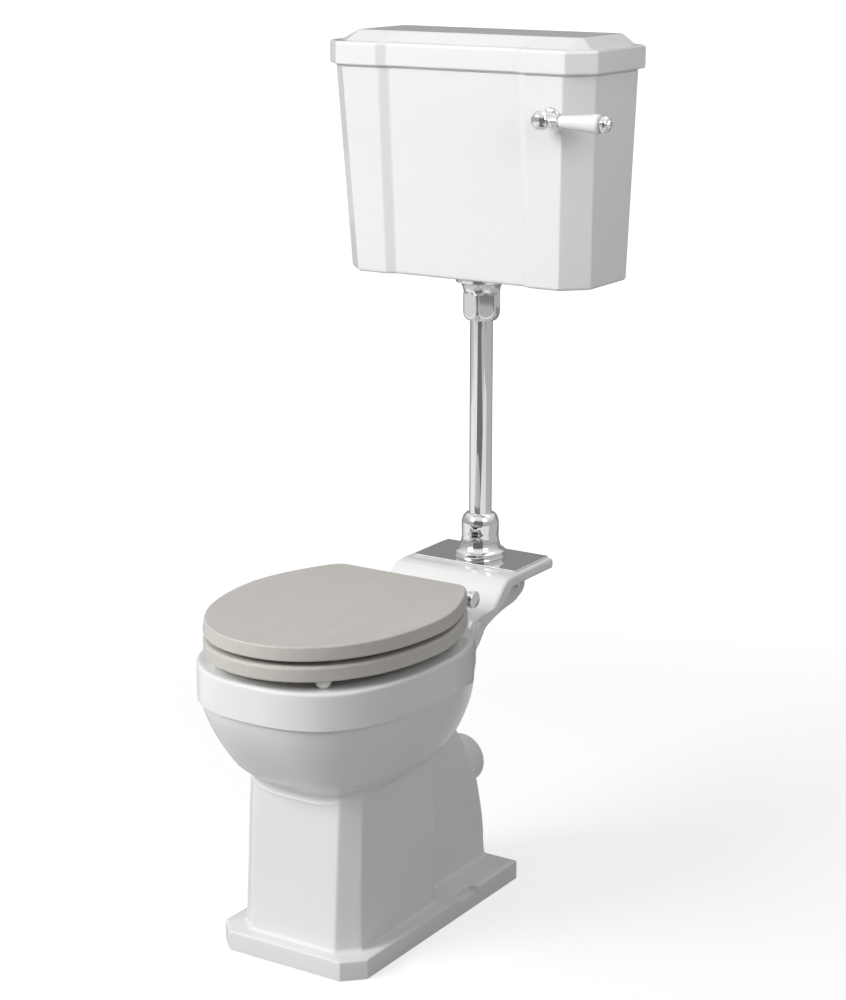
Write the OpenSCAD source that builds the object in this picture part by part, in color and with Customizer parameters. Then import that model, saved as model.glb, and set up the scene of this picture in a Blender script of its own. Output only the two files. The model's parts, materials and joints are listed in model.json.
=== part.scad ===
// Medium level toilet: floor-standing pan, flush pipe and wall-hung cistern with a side lever.
// The origin is on the floor, under the centre of the plinth. The front faces -Y and +X is the lever's side.

/* [Plinth and pedestal] */
// Width of the plinth on the floor
plinth_w = 272; // [250:1:300]
// Length of the plinth, front to back
plinth_l = 483; // [470:1:500]
// Height of the plinth
plinth_h = 32; // [24:1:44]
// Chamfer at the two front corners of the plinth
plinth_chamfer = 31; // [16:1:40]
// Width of the pedestal at its foot
pedestal_foot_w = 220; // [204:1:236]
// Width of the pedestal at its top
pedestal_top_w = 212; // [200:1:224]
// Chamfer at the two front corners of the pedestal
pedestal_chamfer = 28; // [16:1:36]
// Depth of the ledge between the plinth's front and the pedestal's foot
pedestal_ledge = 23; // [16:1:32]
// Lean of the pedestal's front face, foot to top
pedestal_lean = 15; // [4:1:24]
// Length of the pedestal's wide front part at its foot
pedestal_l = 246; // [220:1:270]
// Height of the pedestal's top edge
pedestal_h = 266; // [250:1:280]
// Width of the trap housing behind the pedestal
housing_w = 154; // [144:1:170]

/* [Bowl and rim] */
// Width of the rim
rim_w = 373; // [355:1:390]
// Distance from the plinth's centre forward to the rim's front
rim_front = 318; // [300:1:335]
// Distance from the plinth's centre back to the end of the rim's curve, inside the neck
rim_back = 221; // [214:1:228]
// Height of the rim's top above the floor
rim_h = 480; // [460:1:490]
// Height of the plain band round the rim
rim_band = 60; // [40:1:80]
// Width of the rim between its outer edge and the bowl's mouth, at the sides
rim_land = 51; // [40:1:60]
// Step from the rim's band in to the bowl
rim_step = 5; // [2:1:9]
// Thickness of the ceramic
china = 13; // [10:1:15]

/* [Shelf and outlet] */
// Height of the shelf's top above the floor
shelf_h = 520; // [508:1:534]
// Width of the shelf and neck
shelf_w = 220; // [204:1:236]
// Distance from the plinth's centre back to the shelf's rear edge
shelf_back = 398; // [390:1:410]
// Thickness of the shelf's edge
shelf_t = 17; // [13:1:22]
// Height of the outlet spigot's centre above the floor
outlet_h = 175; // [168:1:182]
// Outside diameter of the outlet spigot
outlet_d = 86; // [84:1:100]
// Distance from the plinth's centre back to the spigot's end
outlet_end = 286; // [275:1:310]
// Diameter of the trap's waterway
trap_bore = 68; // [60:1:72]

/* [Seat] */
// Width of the seat
seat_w = 366; // [350:1:380]
// Distance from the plinth's centre forward to the seat's front
seat_front = 325; // [312:1:335]
// Distance from the plinth's centre back to the seat's straight rear edge
seat_back = 100; // [92:1:103]
// Width of the seat's straight rear edge
seat_back_w = 246; // [240:1:270]
// Thickness of the seat ring
ring_t = 24; // [18:1:28]
// Thickness of the seat lid
lid_t = 22; // [16:1:26]
// Height of the buffers under the ring
ring_buffer_h = 14.7; // [12:0.1:18]
// Gap between the ring and the lid
seat_gap = 8; // [7:0.5:11]
// Width of the opening in the ring
ring_hole_w = 216; // [190:1:230]
// Distance between the two hinge holes in the pan
hinge_spacing = 155; // [145:1:160]
// Distance from the plinth's centre back to the hinge bar
hinge_y = 124; // [120:1:130]
// Diameter of the hinge bar
hinge_bar_d = 12; // [9:1:14]
// Diameter of the hinge barrels
hinge_barrel_d = 23; // [20:1:24]
// Diameter of the hinge bar's end caps
hinge_cap_d = 28; // [26:1:31]

/* [Flush pipe] */
// Outside diameter of the flush pipe
pipe_d = 38; // [32:1:40]
// Wall of the flush pipe
pipe_wall = 1.5; // [1:0.1:2.5]
// Distance from the plinth's centre back to the pipe's axis
pipe_y = 339; // [334:1:343]
// Size of the coupling nuts across corners
nut_corners = 65; // [62:1:70]
// Diameter of the flange at each end of the pipe
flange_d = 86; // [80:1:92]
// Width of the chrome plate on the shelf
plate_w = 200; // [188:1:206]
// Thickness of the chrome plate
plate_t = 2; // [1.5:0.5:3]
// Distance between the plate's two studs
stud_spacing = 150; // [144:1:160]

/* [Cistern] */
// Height of the cistern's underside above the floor
cistern_z = 1002; // [980:1:1030]
// Height of the cistern's body
cistern_h = 336; // [320:1:350]
// Width of the cistern at its foot
cistern_foot_w = 455; // [440:1:470]
// Width of the cistern at its top
cistern_top_w = 484; // [474:1:496]
// Depth of the cistern at its foot
cistern_foot_d = 158; // [152:1:170]
// Depth of the cistern at its top
cistern_top_d = 180; // [172:1:190]
// Distance from the plinth's centre back to the cistern's back
cistern_back = 416; // [410:1:424]
// Chamfer at the cistern's front corners
cistern_chamfer = 38; // [26:1:44]
// Wall of the cistern
cistern_wall = 10; // [8:1:12]
// Thickness of the cistern's floor
cistern_floor = 12; // [10:1:15]
// Width of the recessed front panel
panel_w = 241; // [220:1:260]
// Depth of the recessed front panel
panel_depth = 9; // [5:1:12]
// Width of the slope at each side of the recessed panel
panel_slope = 15; // [10:1:20]
// Projection of the wall pads behind the cistern
pad_t = 10; // [6:1:14]
// Distance between the two wall fixing holes
wall_fix_spacing = 300; // [280:1:320]
// Height of the lid's edge band
lid_band = 37; // [30:1:44]
// Rise of the lid from its ledge to its flat top
lid_rise = 16; // [10:1:22]
// Projection of the lid over the body at the front and sides
lid_over = 7.5; // [5:0.5:10]

/* [Lever] */
// Distance from the cistern's centre to the lever's axis
lever_x = 183; // [176:1:190]
// Height of the lever's axis above the cistern's underside
lever_h = 273.5; // [262:0.5:282]
// Length of the lever from its axis to its tip
lever_l = 123; // [112:1:134]
// Diameter of the lever's spindle
spindle_d = 10; // [8:0.5:12]
// Length of the crank inside the cistern
crank_l = 104; // [100:1:108]
// Turn of the lever
lever_turn = 30; // [20:1:32]

/* [Siphon and inlet] */
// Outside diameter of the siphon's piston chamber
chamber_d = 76; // [70:1:80]
// Wall of the siphon's plastic
siphon_wall = 3; // [2.5:0.5:4]
// Height of the siphon above the cistern's floor
siphon_h = 208; // [198:1:216]
// Outside diameter of the siphon's threaded tail
tail_d = 48; // [46:0.5:50]
// Bore of the siphon's threaded tail
tail_bore = 40.5; // [39.5:0.5:42]
// Depth of the water inlet below the cistern's rim
inlet_drop = 42; // [36:1:52]
// Distance from the plinth's centre back to the water inlet
inlet_y = 345; // [338:1:352]
// Diameter of the float ball
float_d = 84; // [76:1:90]
// Length of the float arm
float_arm_l = 100; // [92:1:108]
// Angle of the float arm below level when the cistern is empty
float_drop = 50; // [46:1:54]

/* [Hidden] */
$fn = 64;

// Gap between pieces that lie against each other
seat_clear = 0.3;
// Radial gap of a shaft that turns or slides in its hole
running = 0.05;
// Radial gap of a fixed piece in its hole
fitted = 0.1;
// Overlap that makes sure a cut passes through a face
cut = 1;

china_white = [0.96, 0.96, 0.95];
seat_stone = [0.77, 0.76, 0.74];
metal_bright = [0.82, 0.83, 0.85];
brass_yellow = [0.80, 0.66, 0.34];
rubber_black = [0.12, 0.12, 0.13];
plastic_white = [0.93, 0.93, 0.92];
plastic_blue = [0.35, 0.45, 0.60];

// Basic functions and shapes

function mix(a, b, t) = a + (b - a) * t;
function signed_power(v, p) = sign(v) * pow(abs(v), p);

// Closed outline of two half superellipses that meet at y = mid, at height z
function oval(w, front, mid, back, n_front, n_back, z, steps) =
    [for (i = [0:steps - 1])
        let (c = cos(360 * i / steps), s = sin(360 * i / steps), n = s < 0 ? n_front : n_back)
        [w * signed_power(c, 2 / n), mid + (s < 0 ? mid - front : back - mid) * signed_power(s, 2 / n), z]];

// Rectangle with chamfered front corners, drawn in by an inset
function chamfered(w, front, back, chamfer, inset, z) =
    let (h = w / 2 - inset, f = front + inset, b = back - inset, c = chamfer - inset * (2 - sqrt(2)))
    [[-h, b, z], [-h, f + c, z], [-h + c, f, z], [h - c, f, z], [h, f + c, z], [h, b, z]];

// Chamfered rectangle whose front has a recessed panel between two slopes
function panelled(w, front, back, chamfer, panel, slope, depth, inset, z) =
    let (h = w / 2 - inset, f = front + inset, b = back - inset, c = chamfer - inset * (2 - sqrt(2)), p = panel / 2)
    [[-h, b, z], [-h, f + c, z], [-h + c, f, z], [-p - slope, f, z], [-p, f + depth, z],
     [p, f + depth, z], [p + slope, f, z], [h - c, f, z], [h, f + c, z], [h, b, z]];

// Solid through a stack of outlines that have the same number of points
module skin(rings) {
    n = len(rings[0]);
    m = len(rings);
    sides = [for (k = [0:m - 2], i = [0:n - 1])
        let (a = k * n + i, b = k * n + (i + 1) % n)
        each [[a, a + n, b + n], [a, b + n, b]]];
    ends = [[for (i = [0:n - 1]) i], [for (i = [n - 1:-1:0]) (m - 1) * n + i]];
    polyhedron([for (r = rings) each r], concat(sides, ends), convexity = 10);
}

module along_x(x, y, z) {
    translate([x, y, z]) rotate([0, 90, 0]) children();
}

module along_y(x, y, z) {
    translate([x, y, z]) rotate([-90, 0, 0]) children();
}

module mirrored_x() {
    children();
    mirror([1, 0, 0]) children();
}

// Straight round bar between two points of the x = 0 plane
module bar_between(y0, z0, y1, z1, r) {
    l = norm([y1 - y0, z1 - z0]);
    translate([0, y0, z0]) rotate([-atan2(y1 - y0, z1 - z0), 0, 0]) cylinder(r = r, h = l);
}

// Tube of given radii between two heights
module tube(r_out, r_in, z0, z1) {
    translate([0, 0, z0]) difference() {
        cylinder(r = r_out, h = z1 - z0);
        translate([0, 0, -cut]) cylinder(r = r_in, h = z1 - z0 + 2 * cut);
    }
}

// Plinth, pedestal and trap housing

plinth_front = -plinth_l / 2;
plinth_back = plinth_l / 2;
plinth_edge = 3;
foot_front = plinth_front + pedestal_ledge;
foot_back = foot_front + pedestal_l;
foot_flare = 8;
// Pocket for the floor fixing at each side of the plinth
fix_y = 88;
fix_x = plinth_w / 2 - 10;
fix_r = 3.5;
pocket_l = 54;
pocket_w = 18;
pocket_floor = plinth_h - 10;

module plinth() {
    difference() {
        skin([
            for (level = [[0, 0], [plinth_h - plinth_edge, 0], [plinth_h - 1, 1], [plinth_h, plinth_edge]])
                chamfered(plinth_w, plinth_front, plinth_back, plinth_chamfer, level[1], level[0])
        ]);
        mirrored_x() {
            translate([plinth_w / 2 - pocket_w, fix_y - pocket_l / 2, pocket_floor])
                cube([pocket_w + cut, pocket_l, plinth_h]);
            translate([fix_x, fix_y, -cut]) cylinder(r = fix_r, h = plinth_h);
        }
    }
}

module pedestal() {
    function at(z, inset) =
        let (t = (z - plinth_h) / (pedestal_h - plinth_h))
        chamfered(mix(pedestal_foot_w, pedestal_top_w, t), mix(foot_front, foot_front + pedestal_lean, t), foot_back,
            pedestal_chamfer + mix(2, -2, t), inset, z);
    skin([
        at(plinth_h - cut, -foot_flare),
        at(plinth_h + 2, -foot_flare * 0.5),
        at(plinth_h + 6, -foot_flare * 0.18),
        at(plinth_h + 12, 0),
        at(pedestal_h, 0),
        at(pedestal_h + 3, 1.5),
        at(pedestal_h + 7, 4.5),
        at(pedestal_h + 12, 10)
    ]);
}

housing_round = 6;
housing_start = foot_back - 40;
// Height above the plinth and distance forward of the plinth's rear edge, up the housing's back
housing_steps = [[-1, 1], [5, 6], [63, 12.5], [111, 22.5], [155, 35.5], [203, 63], [250, 94], [298, 125]];

module housing() {
    function corner(x, y, side, z) =
        [for (i = [0:4]) let (a = side > 0 ? 90 * i / 4 : 90 + 90 * i / 4)
            [x + housing_round * cos(a), y + housing_round * sin(a), z]];
    function at(z, back, w) =
        let (h = w / 2)
        concat(
            [[-h, housing_start, z], [h, housing_start, z]],
            corner(h - housing_round, back - housing_round, 1, z),
            corner(housing_round - h, back - housing_round, -1, z)
        );
    skin([
        for (s = housing_steps)
            at(plinth_h + s[0], plinth_back - s[1], housing_w - 8 * max(0, s[0]) / 298)
    ]);
}

// Bowl, rim and neck

mid_y = -60;
crease_z = rim_h - rim_band;
// Height at which the bowl has drawn in to the pedestal's size, and the lowest section, inside the pedestal
bowl_foot = pedestal_h - 4;
bowl_end = bowl_foot - 10;
// How far the bowl draws in from the crease to its foot: at the side, at the front and at the back
bowl_in_side = rim_w / 2 - rim_step - pedestal_top_w / 2;
bowl_in_front = rim_front - rim_step + foot_front + pedestal_lean;
bowl_in_back = 106;
bowl_power = 1.4;
// Roundness of the outline, at the rim and at the bowl's foot, in front and behind
front_n = [2.64, 3.8];
back_n = [1.65, 2.8];
ring_steps = 48;
bowl_rings = 7;

function bowl_depth(z) = max(0, crease_z - z) / (crease_z - bowl_foot);

function bowl_ring(z, inset) =
    let (s = bowl_depth(z), d = pow(s, bowl_power))
    oval(rim_w / 2 - inset - bowl_in_side * d, -rim_front + inset + bowl_in_front * d, mid_y,
        rim_back - inset - bowl_in_back * d, mix(front_n[0], front_n[1], min(1, pow(s, 1.7))),
        mix(back_n[0], back_n[1], s), z, ring_steps);

module bowl_outer() {
    skin(concat(
        [for (i = [0:bowl_rings]) bowl_ring(mix(bowl_end, crease_z, i / bowl_rings), rim_step)],
        [for (level = [[crease_z + 1, 0], [rim_h - 5, 0], [rim_h - 2, 1], [rim_h - 0.6, 2.8], [rim_h, 5.5]])
            bowl_ring(level[0], level[1])]
    ));
}

inner_steps = 40;
inner_back = 72;
inner_n = 2.4;
mouth_z = rim_h - 30;
trap_r = trap_bore / 2;
sump_z = 82;
weir_z = sump_z + 116;
// The sump's sections: height, half-width, front, middle and back
sump_sections = [
    [sump_z - 32, 24, -40, -20, 0],
    [sump_z - 22, 36, -58, -20, 10],
    [sump_z, 42, -66, -20, 14],
    [sump_z + 36, 44, -70, -22, 16],
    [sump_z + 68, 48, -82, -25, 18],
    [sump_z + 108, 54, -106, -30, 24],
    [sump_z + 140, 59, -126, -34, 36],
    [pedestal_h - 18, 68, -154, -44, 54]
];

function sump_ring(s, grow) = oval(s[1] + grow, s[2] - grow, s[3], s[4] + grow, 2.1, 2.1, s[0], inner_steps);

// Inside of the bowl, from the sump up to the mouth
module bowl_inner() {
    function low(z) =
        let (d = pow(bowl_depth(z), bowl_power), i = rim_step + china)
        oval(rim_w / 2 - i - bowl_in_side * d, -rim_front + i + bowl_in_front * d, mid_y, inner_back,
            front_n[0], inner_n, z, inner_steps);
    mouth = rim_w / 2 - rim_land;
    skin(concat(
        [for (s = sump_sections) sump_ring(s, 0)],
        [for (i = [0:5]) low(mix(pedestal_h + 6, mouth_z - 14, i / 5))],
        [
            oval(mouth + 6, -rim_front + rim_land + 2, mid_y, inner_back - 4, 2.3, inner_n, mouth_z - 6, inner_steps),
            oval(mouth, -rim_front + rim_land, mid_y, inner_back - 8, 2.2, inner_n, mouth_z, inner_steps),
            oval(mouth, -rim_front + rim_land, mid_y, inner_back - 8, 2.2, inner_n, rim_h - 4, inner_steps),
            oval(mouth + 4, -rim_front + rim_land - 4, mid_y, inner_back - 4, 2.2, inner_n, rim_h + cut, inner_steps)
        ]
    ));
}

boss_half = 60;
neck_top = rim_h - 0.6;
ramp_start = rim_back - 26;
ramp_end = ramp_start + 67;
shelf_under = shelf_h - shelf_t;
// The neck's sections, front to back: place, height of the top, height of the side's lower edge, then the
// half-width and height of the shoulder and of the keel
neck_sections = [
    [120, neck_top - 12, 446, 104, 425, 80, 380],
    [150, neck_top, 446, 100, 425, 72, 384],
    [ramp_start, neck_top, 450, 94, 428, 62, 398],
    [ramp_start + 12, mix(neck_top, shelf_h, 0.12), 459, 90, 436, boss_half, 405],
    [ramp_start + 24, mix(neck_top, shelf_h, 0.38), 470, 85, 444, boss_half, 410],
    [ramp_start + 38, mix(neck_top, shelf_h, 0.74), 485, 80, 458, boss_half, 415],
    [ramp_start + 52, mix(neck_top, shelf_h, 0.95), 496, 76, 474, boss_half, 418],
    [ramp_end, shelf_h, shelf_under - 1, 74, 484, boss_half, 423],
    [ramp_end + 20, shelf_h, shelf_under, 66, shelf_under - 2, boss_half, 431],
    [pipe_y - 20, shelf_h, shelf_under, boss_half + 3, shelf_under, boss_half, 441],
    [pipe_y + 14, shelf_h, shelf_under, boss_half + 3, shelf_under, boss_half, 449],
    [pipe_y + 44, shelf_h, shelf_under, boss_half + 2, shelf_under, boss_half - 4, 461],
    [shelf_back - 8, shelf_h, shelf_under, boss_half - 4, shelf_under, boss_half - 16, 476],
    [shelf_back - 2, shelf_h - 1, shelf_under, 40, shelf_under - 1, 30, 498],
    [shelf_back, shelf_h - 3, shelf_under + 2, 36, shelf_under + 1.5, 28, shelf_under + 1]
];

module neck() {
    function at(s) =
        let (h = shelf_w / 2, e = 3, keel = s[5] * 0.6, drop = 6 * min(1, (s[4] - s[6]) / 20))
        [[-keel, s[0], s[6] - drop], [-s[5], s[0], s[6]], [-s[3], s[0], s[4]], [-h + 2, s[0], s[2]],
         [-h, s[0], s[2] + 3], [-h, s[0], s[1] - e], [-h + e, s[0], s[1]], [h - e, s[0], s[1]], [h, s[0], s[1] - e],
         [h, s[0], s[2] + 3], [h - 2, s[0], s[2]], [s[3], s[0], s[4]], [s[5], s[0], s[6]], [keel, s[0], s[6] - drop]];
    skin([for (s = neck_sections) at(s)]);
}

// Waterways: the trap from the sump over its weir to the spigot, and the duct from the shelf to the rim
trap_path = [
    [-20, sump_z], [15, sump_z + 2], [48, sump_z + 16], [72, sump_z + 44], [92, weir_z - 38], [112, weir_z - 11],
    [132, weir_z], [154, weir_z - 5], [176, mix(weir_z, outlet_h, 0.7)], [204, mix(weir_z, outlet_h, 0.95)],
    [236, outlet_h]
];
spigot_start = 100;
spigot_grip = 44;
spigot_root_r = outlet_d / 2 + 2.5;
duct_r = 15;
duct_z = rim_h - 36;
inlet_hole_r = 27;
inlet_hole_z = shelf_h - 56;

// Round bar whose centre follows points (y, z) of the x = 0 plane
module bent_bar(path, r) {
    last = len(path) - 1;
    skin([
        for (i = [0:last])
            let (d = path[min(i + 1, last)] - path[max(i - 1, 0)], t = d / norm(d))
            [for (a = [0:15:345]) [r * cos(a), path[i][0] + r * sin(a) * t[1], path[i][1] - r * sin(a) * t[0]]]
    ]);
}

module waterways() {
    bent_bar(trap_path, trap_r - 0.5);
    bar_between(220, outlet_h, outlet_end + cut, outlet_h, trap_r);
    bar_between(inner_back - 16, duct_z, pipe_y, inlet_hole_z + 2, duct_r);
    translate([0, pipe_y, inlet_hole_z]) cylinder(r = inlet_hole_r, h = shelf_h - inlet_hole_z + cut);
}

// Hollow in the pedestal and housing, open to the floor, round the outside of the trap
hollow_h = 172;
hollow_front_h = 218;
hollow_split = -142;
hollow_back = 196;
// A web across the hollow carries the sump and gives the foot a middle
web_t = 14;

module pedestal_hollow() {
    w = pedestal_top_w - 2 * china;
    front = foot_front + pedestal_lean + china;
    difference() {
        union() {
            translate([0, 0, -cut]) linear_extrude(hollow_front_h + cut) polygon([
                [-w / 2 + 18, front], [w / 2 - 18, front], [w / 2, front + 18], [w / 2, hollow_split],
                [-w / 2, hollow_split], [-w / 2, front + 18]
            ]);
            translate([-w / 2, hollow_split - cut, -cut]) cube([w, foot_back - china - hollow_split + cut, hollow_h + cut]);
            translate([-housing_w / 2 + china + 4, foot_back - china - cut, -cut])
                cube([housing_w - 2 * china - 8, hollow_back - foot_back + china, 120 + cut]);
        }
        translate([-w / 2 - cut, -web_t / 2, -2 * cut]) cube([w + 2 * cut, web_t, hollow_h + 4 * cut]);
        bent_bar(trap_path, trap_r + china);
        skin([for (s = sump_sections) let (low = s[0] < sump_z - 30 ? china : 0) sump_ring(s - [low, 0, 0, 0, 0], china)]);
    }
}

hinge_hole_r = 7;
hinge_hole_depth = 46;
stud_r = 4;
stud_hole_r = 5.5;

module pan() {
    color(china_white) difference() {
        union() {
            plinth();
            pedestal();
            housing();
            bowl_outer();
            neck();
            bar_between(spigot_start, outlet_h, outlet_end - spigot_grip, outlet_h, spigot_root_r);
            bar_between(spigot_start, outlet_h, outlet_end, outlet_h, outlet_d / 2);
        }
        bowl_inner();
        waterways();
        pedestal_hollow();
        mirrored_x() {
            translate([hinge_spacing / 2, hinge_y, rim_h - hinge_hole_depth])
                cylinder(r = hinge_hole_r, h = hinge_hole_depth + cut);
            translate([stud_spacing / 2, pipe_y, shelf_h - shelf_t - cut])
                cylinder(r = stud_hole_r, h = shelf_t + 2 * cut);
        }
    }
}

// Chrome plate and flush inlet

plate_z = shelf_h + seat_clear;
plate_top = plate_z + plate_t;
plate_front = pipe_y - 53;
plate_back = pipe_y + 58;
spud_r = 24;

module cover_plate() {
    color(metal_bright) difference() {
        translate([-plate_w / 2, plate_front, plate_z]) cube([plate_w, plate_back - plate_front, plate_t]);
        translate([0, pipe_y, plate_z - cut]) cylinder(r = spud_r + fitted, h = plate_t + 2 * cut);
    }
}

wing_nut_z = shelf_h - shelf_t - 15;
stud_l = 42;

module plate_studs() {
    color(metal_bright) mirrored_x() {
        translate([stud_spacing / 2, pipe_y, plate_z - seat_clear / 3 - stud_l]) cylinder(r = stud_r, h = stud_l);
    }
}

module plate_washers() {
    color(rubber_black) mirrored_x() {
        translate([stud_spacing / 2, pipe_y, 0])
            tube(11.5, stud_r + fitted, shelf_h - shelf_t - seat_clear - 4, shelf_h - shelf_t - seat_clear);
    }
}

module plate_wing_nuts() {
    hub_r = 7.5;
    wing = 15;
    color(brass_yellow) mirrored_x() {
        translate([stud_spacing / 2, pipe_y, 0]) difference() {
            union() {
                translate([0, 0, wing_nut_z]) cylinder(r = hub_r, h = 10);
                translate([-1.5, 0, wing_nut_z - 4]) rotate([90, 0, 90]) linear_extrude(3)
                    polygon([[-wing, 0], [-wing + 5, -3], [-hub_r + 1, 5], [hub_r - 1, 5], [wing - 5, -3], [wing, 0],
                        [hub_r, 12], [-hub_r, 12]]);
            }
            translate([0, 0, wing_nut_z - 10]) cylinder(r = stud_r + fitted, h = 30);
        }
    }
}

flange_r = flange_d / 2;
nut_round = nut_corners / 2 - 1;
flange_band = 11;
flare_h = 15;
stub_r = 26.5;
stub_h = 22;
nut_h = 49;
dome_h = 19;
pipe_r = pipe_d / 2;
pipe_hole_r = pipe_r + 0.4;
flange_z = plate_top + seat_clear;
lower_nut_z = flange_z + flange_band + flare_h + seat_clear;

// Half section of the flange's band and its hollow flare, from the face that it sits on upwards
function flare_profile(r_in) = concat(
    [[r_in, 0], [flange_r, 0], [flange_r, flange_band - 1], [flange_r - 1, flange_band]],
    [for (a = [0:15:90])
        [nut_round - 1 + (flange_r - nut_round - 1) * (1 - sin(a)), flange_band + flare_h * (1 - cos(a))]],
    [[r_in, flange_band + flare_h]]
);

module inlet_flange() {
    color(metal_bright) translate([0, pipe_y, flange_z]) {
        difference() {
            union() {
                rotate_extrude() polygon(flare_profile(pipe_hole_r - 4));
                tube(spud_r, pipe_hole_r - 4, -34, 1);
                tube(stub_r, pipe_hole_r - 4, flange_band + flare_h - 1, flange_band + flare_h + stub_h);
            }
            translate([0, 0, flange_band]) cylinder(r = pipe_hole_r, h = 60);
        }
    }
}

module inlet_seal() {
    color(rubber_black) translate([0, pipe_y, 0])
        tube(inlet_hole_r - fitted, spud_r + fitted, shelf_h - 26, shelf_h - 6);
}

// Six-sided nut with a rounded shoulder, hollow, shoulder upwards
module ogee_nut(turn) {
    intersection() {
        rotate([0, 0, turn]) cylinder(r = nut_corners / 2, h = nut_h, $fn = 6);
        rotate_extrude() polygon(concat(
            [[0, 0], [nut_round - 2.5, 0], [nut_round, 4]],
            [for (a = [0:10:90])
                [pipe_hole_r + 1 + (nut_round - pipe_hole_r - 1) * cos(a), nut_h - dome_h + dome_h * sin(a)]],
            [[0, nut_h]]
        ));
    }
}

module hollow_nut(turn, bore_r) {
    difference() {
        ogee_nut(turn);
        translate([0, 0, -cut]) cylinder(r = pipe_hole_r, h = nut_h + 2 * cut);
        translate([0, 0, -cut]) cylinder(r = bore_r, h = nut_h - dome_h + 5 + cut);
    }
}

module lower_coupling_nut() {
    color(metal_bright) translate([0, pipe_y, lower_nut_z]) hollow_nut(30, stub_r + fitted);
}

cone_h = nut_h - dome_h + 5 - stub_h - 2 * seat_clear;

module cone_seal(r_out) {
    difference() {
        cylinder(r = r_out, h = cone_h);
        translate([0, 0, -cut]) cylinder(r = pipe_r + running, h = cone_h + 2 * cut);
    }
}

module lower_cone_seal() {
    color(rubber_black) translate([0, pipe_y, flange_z + flange_band + flare_h + stub_h + seat_clear])
        cone_seal(stub_r - fitted);
}

tail_r = tail_d / 2;
back_nut_top = cistern_z - seat_clear;
back_nut_z = back_nut_top - flange_band - flare_h;
upper_nut_top = back_nut_z - seat_clear;
tail_end = upper_nut_top - stub_h;
pipe_bottom = flange_z + flange_band + seat_clear;
pipe_top = tail_end + 14;

module flush_pipe() {
    color(metal_bright) translate([0, pipe_y, 0]) tube(pipe_r, pipe_r - pipe_wall, pipe_bottom, pipe_top);
}

module upper_coupling_nut() {
    color(metal_bright) translate([0, pipe_y, upper_nut_top]) mirror([0, 0, 1]) hollow_nut(46, tail_r + fitted);
}

module upper_cone_seal() {
    color(rubber_black) translate([0, pipe_y, tail_end - seat_clear]) mirror([0, 0, 1]) cone_seal(tail_r - fitted);
}

module siphon_back_nut() {
    color(metal_bright) translate([0, pipe_y, back_nut_top]) mirror([0, 0, 1])
        rotate_extrude() polygon(flare_profile(tail_r + fitted));
}

// Siphon

floor_z = cistern_z + cistern_floor;
washer_t = 3;
siphon_flange_z = floor_z + washer_t + 2 * seat_clear;
siphon_flange_r = 34;
siphon_top = floor_z + siphon_h;
chamber_r = chamber_d / 2;
chamber_z = floor_z + 12;
crown_z = siphon_top - 72;
leg_r = 24;
// The lever's mid-swing end stands over the chamber
crank_swing = lever_turn / 2;
chamber_x = lever_x - crank_l * (1 + cos(crank_swing)) / 2;
rod_r = 3;

module crown(inset, z0, z1) {
    translate([chamber_x, 0, z0]) cylinder(r = chamber_r - inset, h = z1 - z0);
    translate([0, 0, z0]) cylinder(r = leg_r - inset, h = z1 - z0);
    translate([0, -leg_r + inset, z0]) cube([chamber_x, 2 * (leg_r - inset), z1 - z0]);
}

module siphon_body() {
    color(plastic_white) translate([0, pipe_y, 0]) difference() {
        union() {
            crown(0, crown_z, siphon_top);
            translate([chamber_x, 0, chamber_z]) cylinder(r = chamber_r, h = crown_z - chamber_z + 1);
            translate([0, 0, siphon_flange_z]) cylinder(r = leg_r, h = crown_z - siphon_flange_z + 1);
            translate([0, 0, siphon_flange_z]) cylinder(r = siphon_flange_r, h = 5);
            translate([0, 0, tail_end]) cylinder(r = tail_r, h = siphon_flange_z - tail_end + 1);
        }
        difference() {
            crown(siphon_wall, crown_z + siphon_wall, siphon_top - siphon_wall);
            translate([0, 0, crown_z]) cylinder(r = tail_bore / 2 + siphon_wall - 1, h = 44);
        }
        translate([chamber_x, 0, chamber_z - cut])
            cylinder(r = chamber_r - siphon_wall, h = crown_z - chamber_z + 2 * siphon_wall);
        translate([0, 0, tail_end - cut]) cylinder(r = tail_bore / 2, h = crown_z + 46 - tail_end);
        translate([chamber_x, 0, siphon_top - 2 * siphon_wall])
            cylinder(r = rod_r + running, h = 3 * siphon_wall);
    }
}

module siphon_washer() {
    color(rubber_black) translate([0, pipe_y, 0])
        tube(siphon_flange_r - 1, tail_r + fitted, floor_z + seat_clear, floor_z + seat_clear + washer_t);
}

piston_z = chamber_z + 14;
piston_t = 5;
piston_r = chamber_r - siphon_wall - 0.3;

module piston_plate() {
    color(plastic_white) translate([chamber_x, pipe_y, piston_z]) difference() {
        cylinder(r = piston_r, h = piston_t);
        translate([0, 0, -cut]) cylinder(r = rod_r + fitted, h = piston_t + 2 * cut);
        for (a = [0:60:300]) {
            rotate([0, 0, a]) translate([piston_r * 0.6, 0, -cut]) cylinder(r = 7, h = piston_t + 2 * cut);
        }
    }
}

module piston_diaphragm() {
    color(plastic_blue) translate([chamber_x, pipe_y, 0])
        tube(piston_r - 1, rod_r + fitted, piston_z + piston_t + seat_clear, piston_z + piston_t + seat_clear + 1);
}

// Lever

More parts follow.
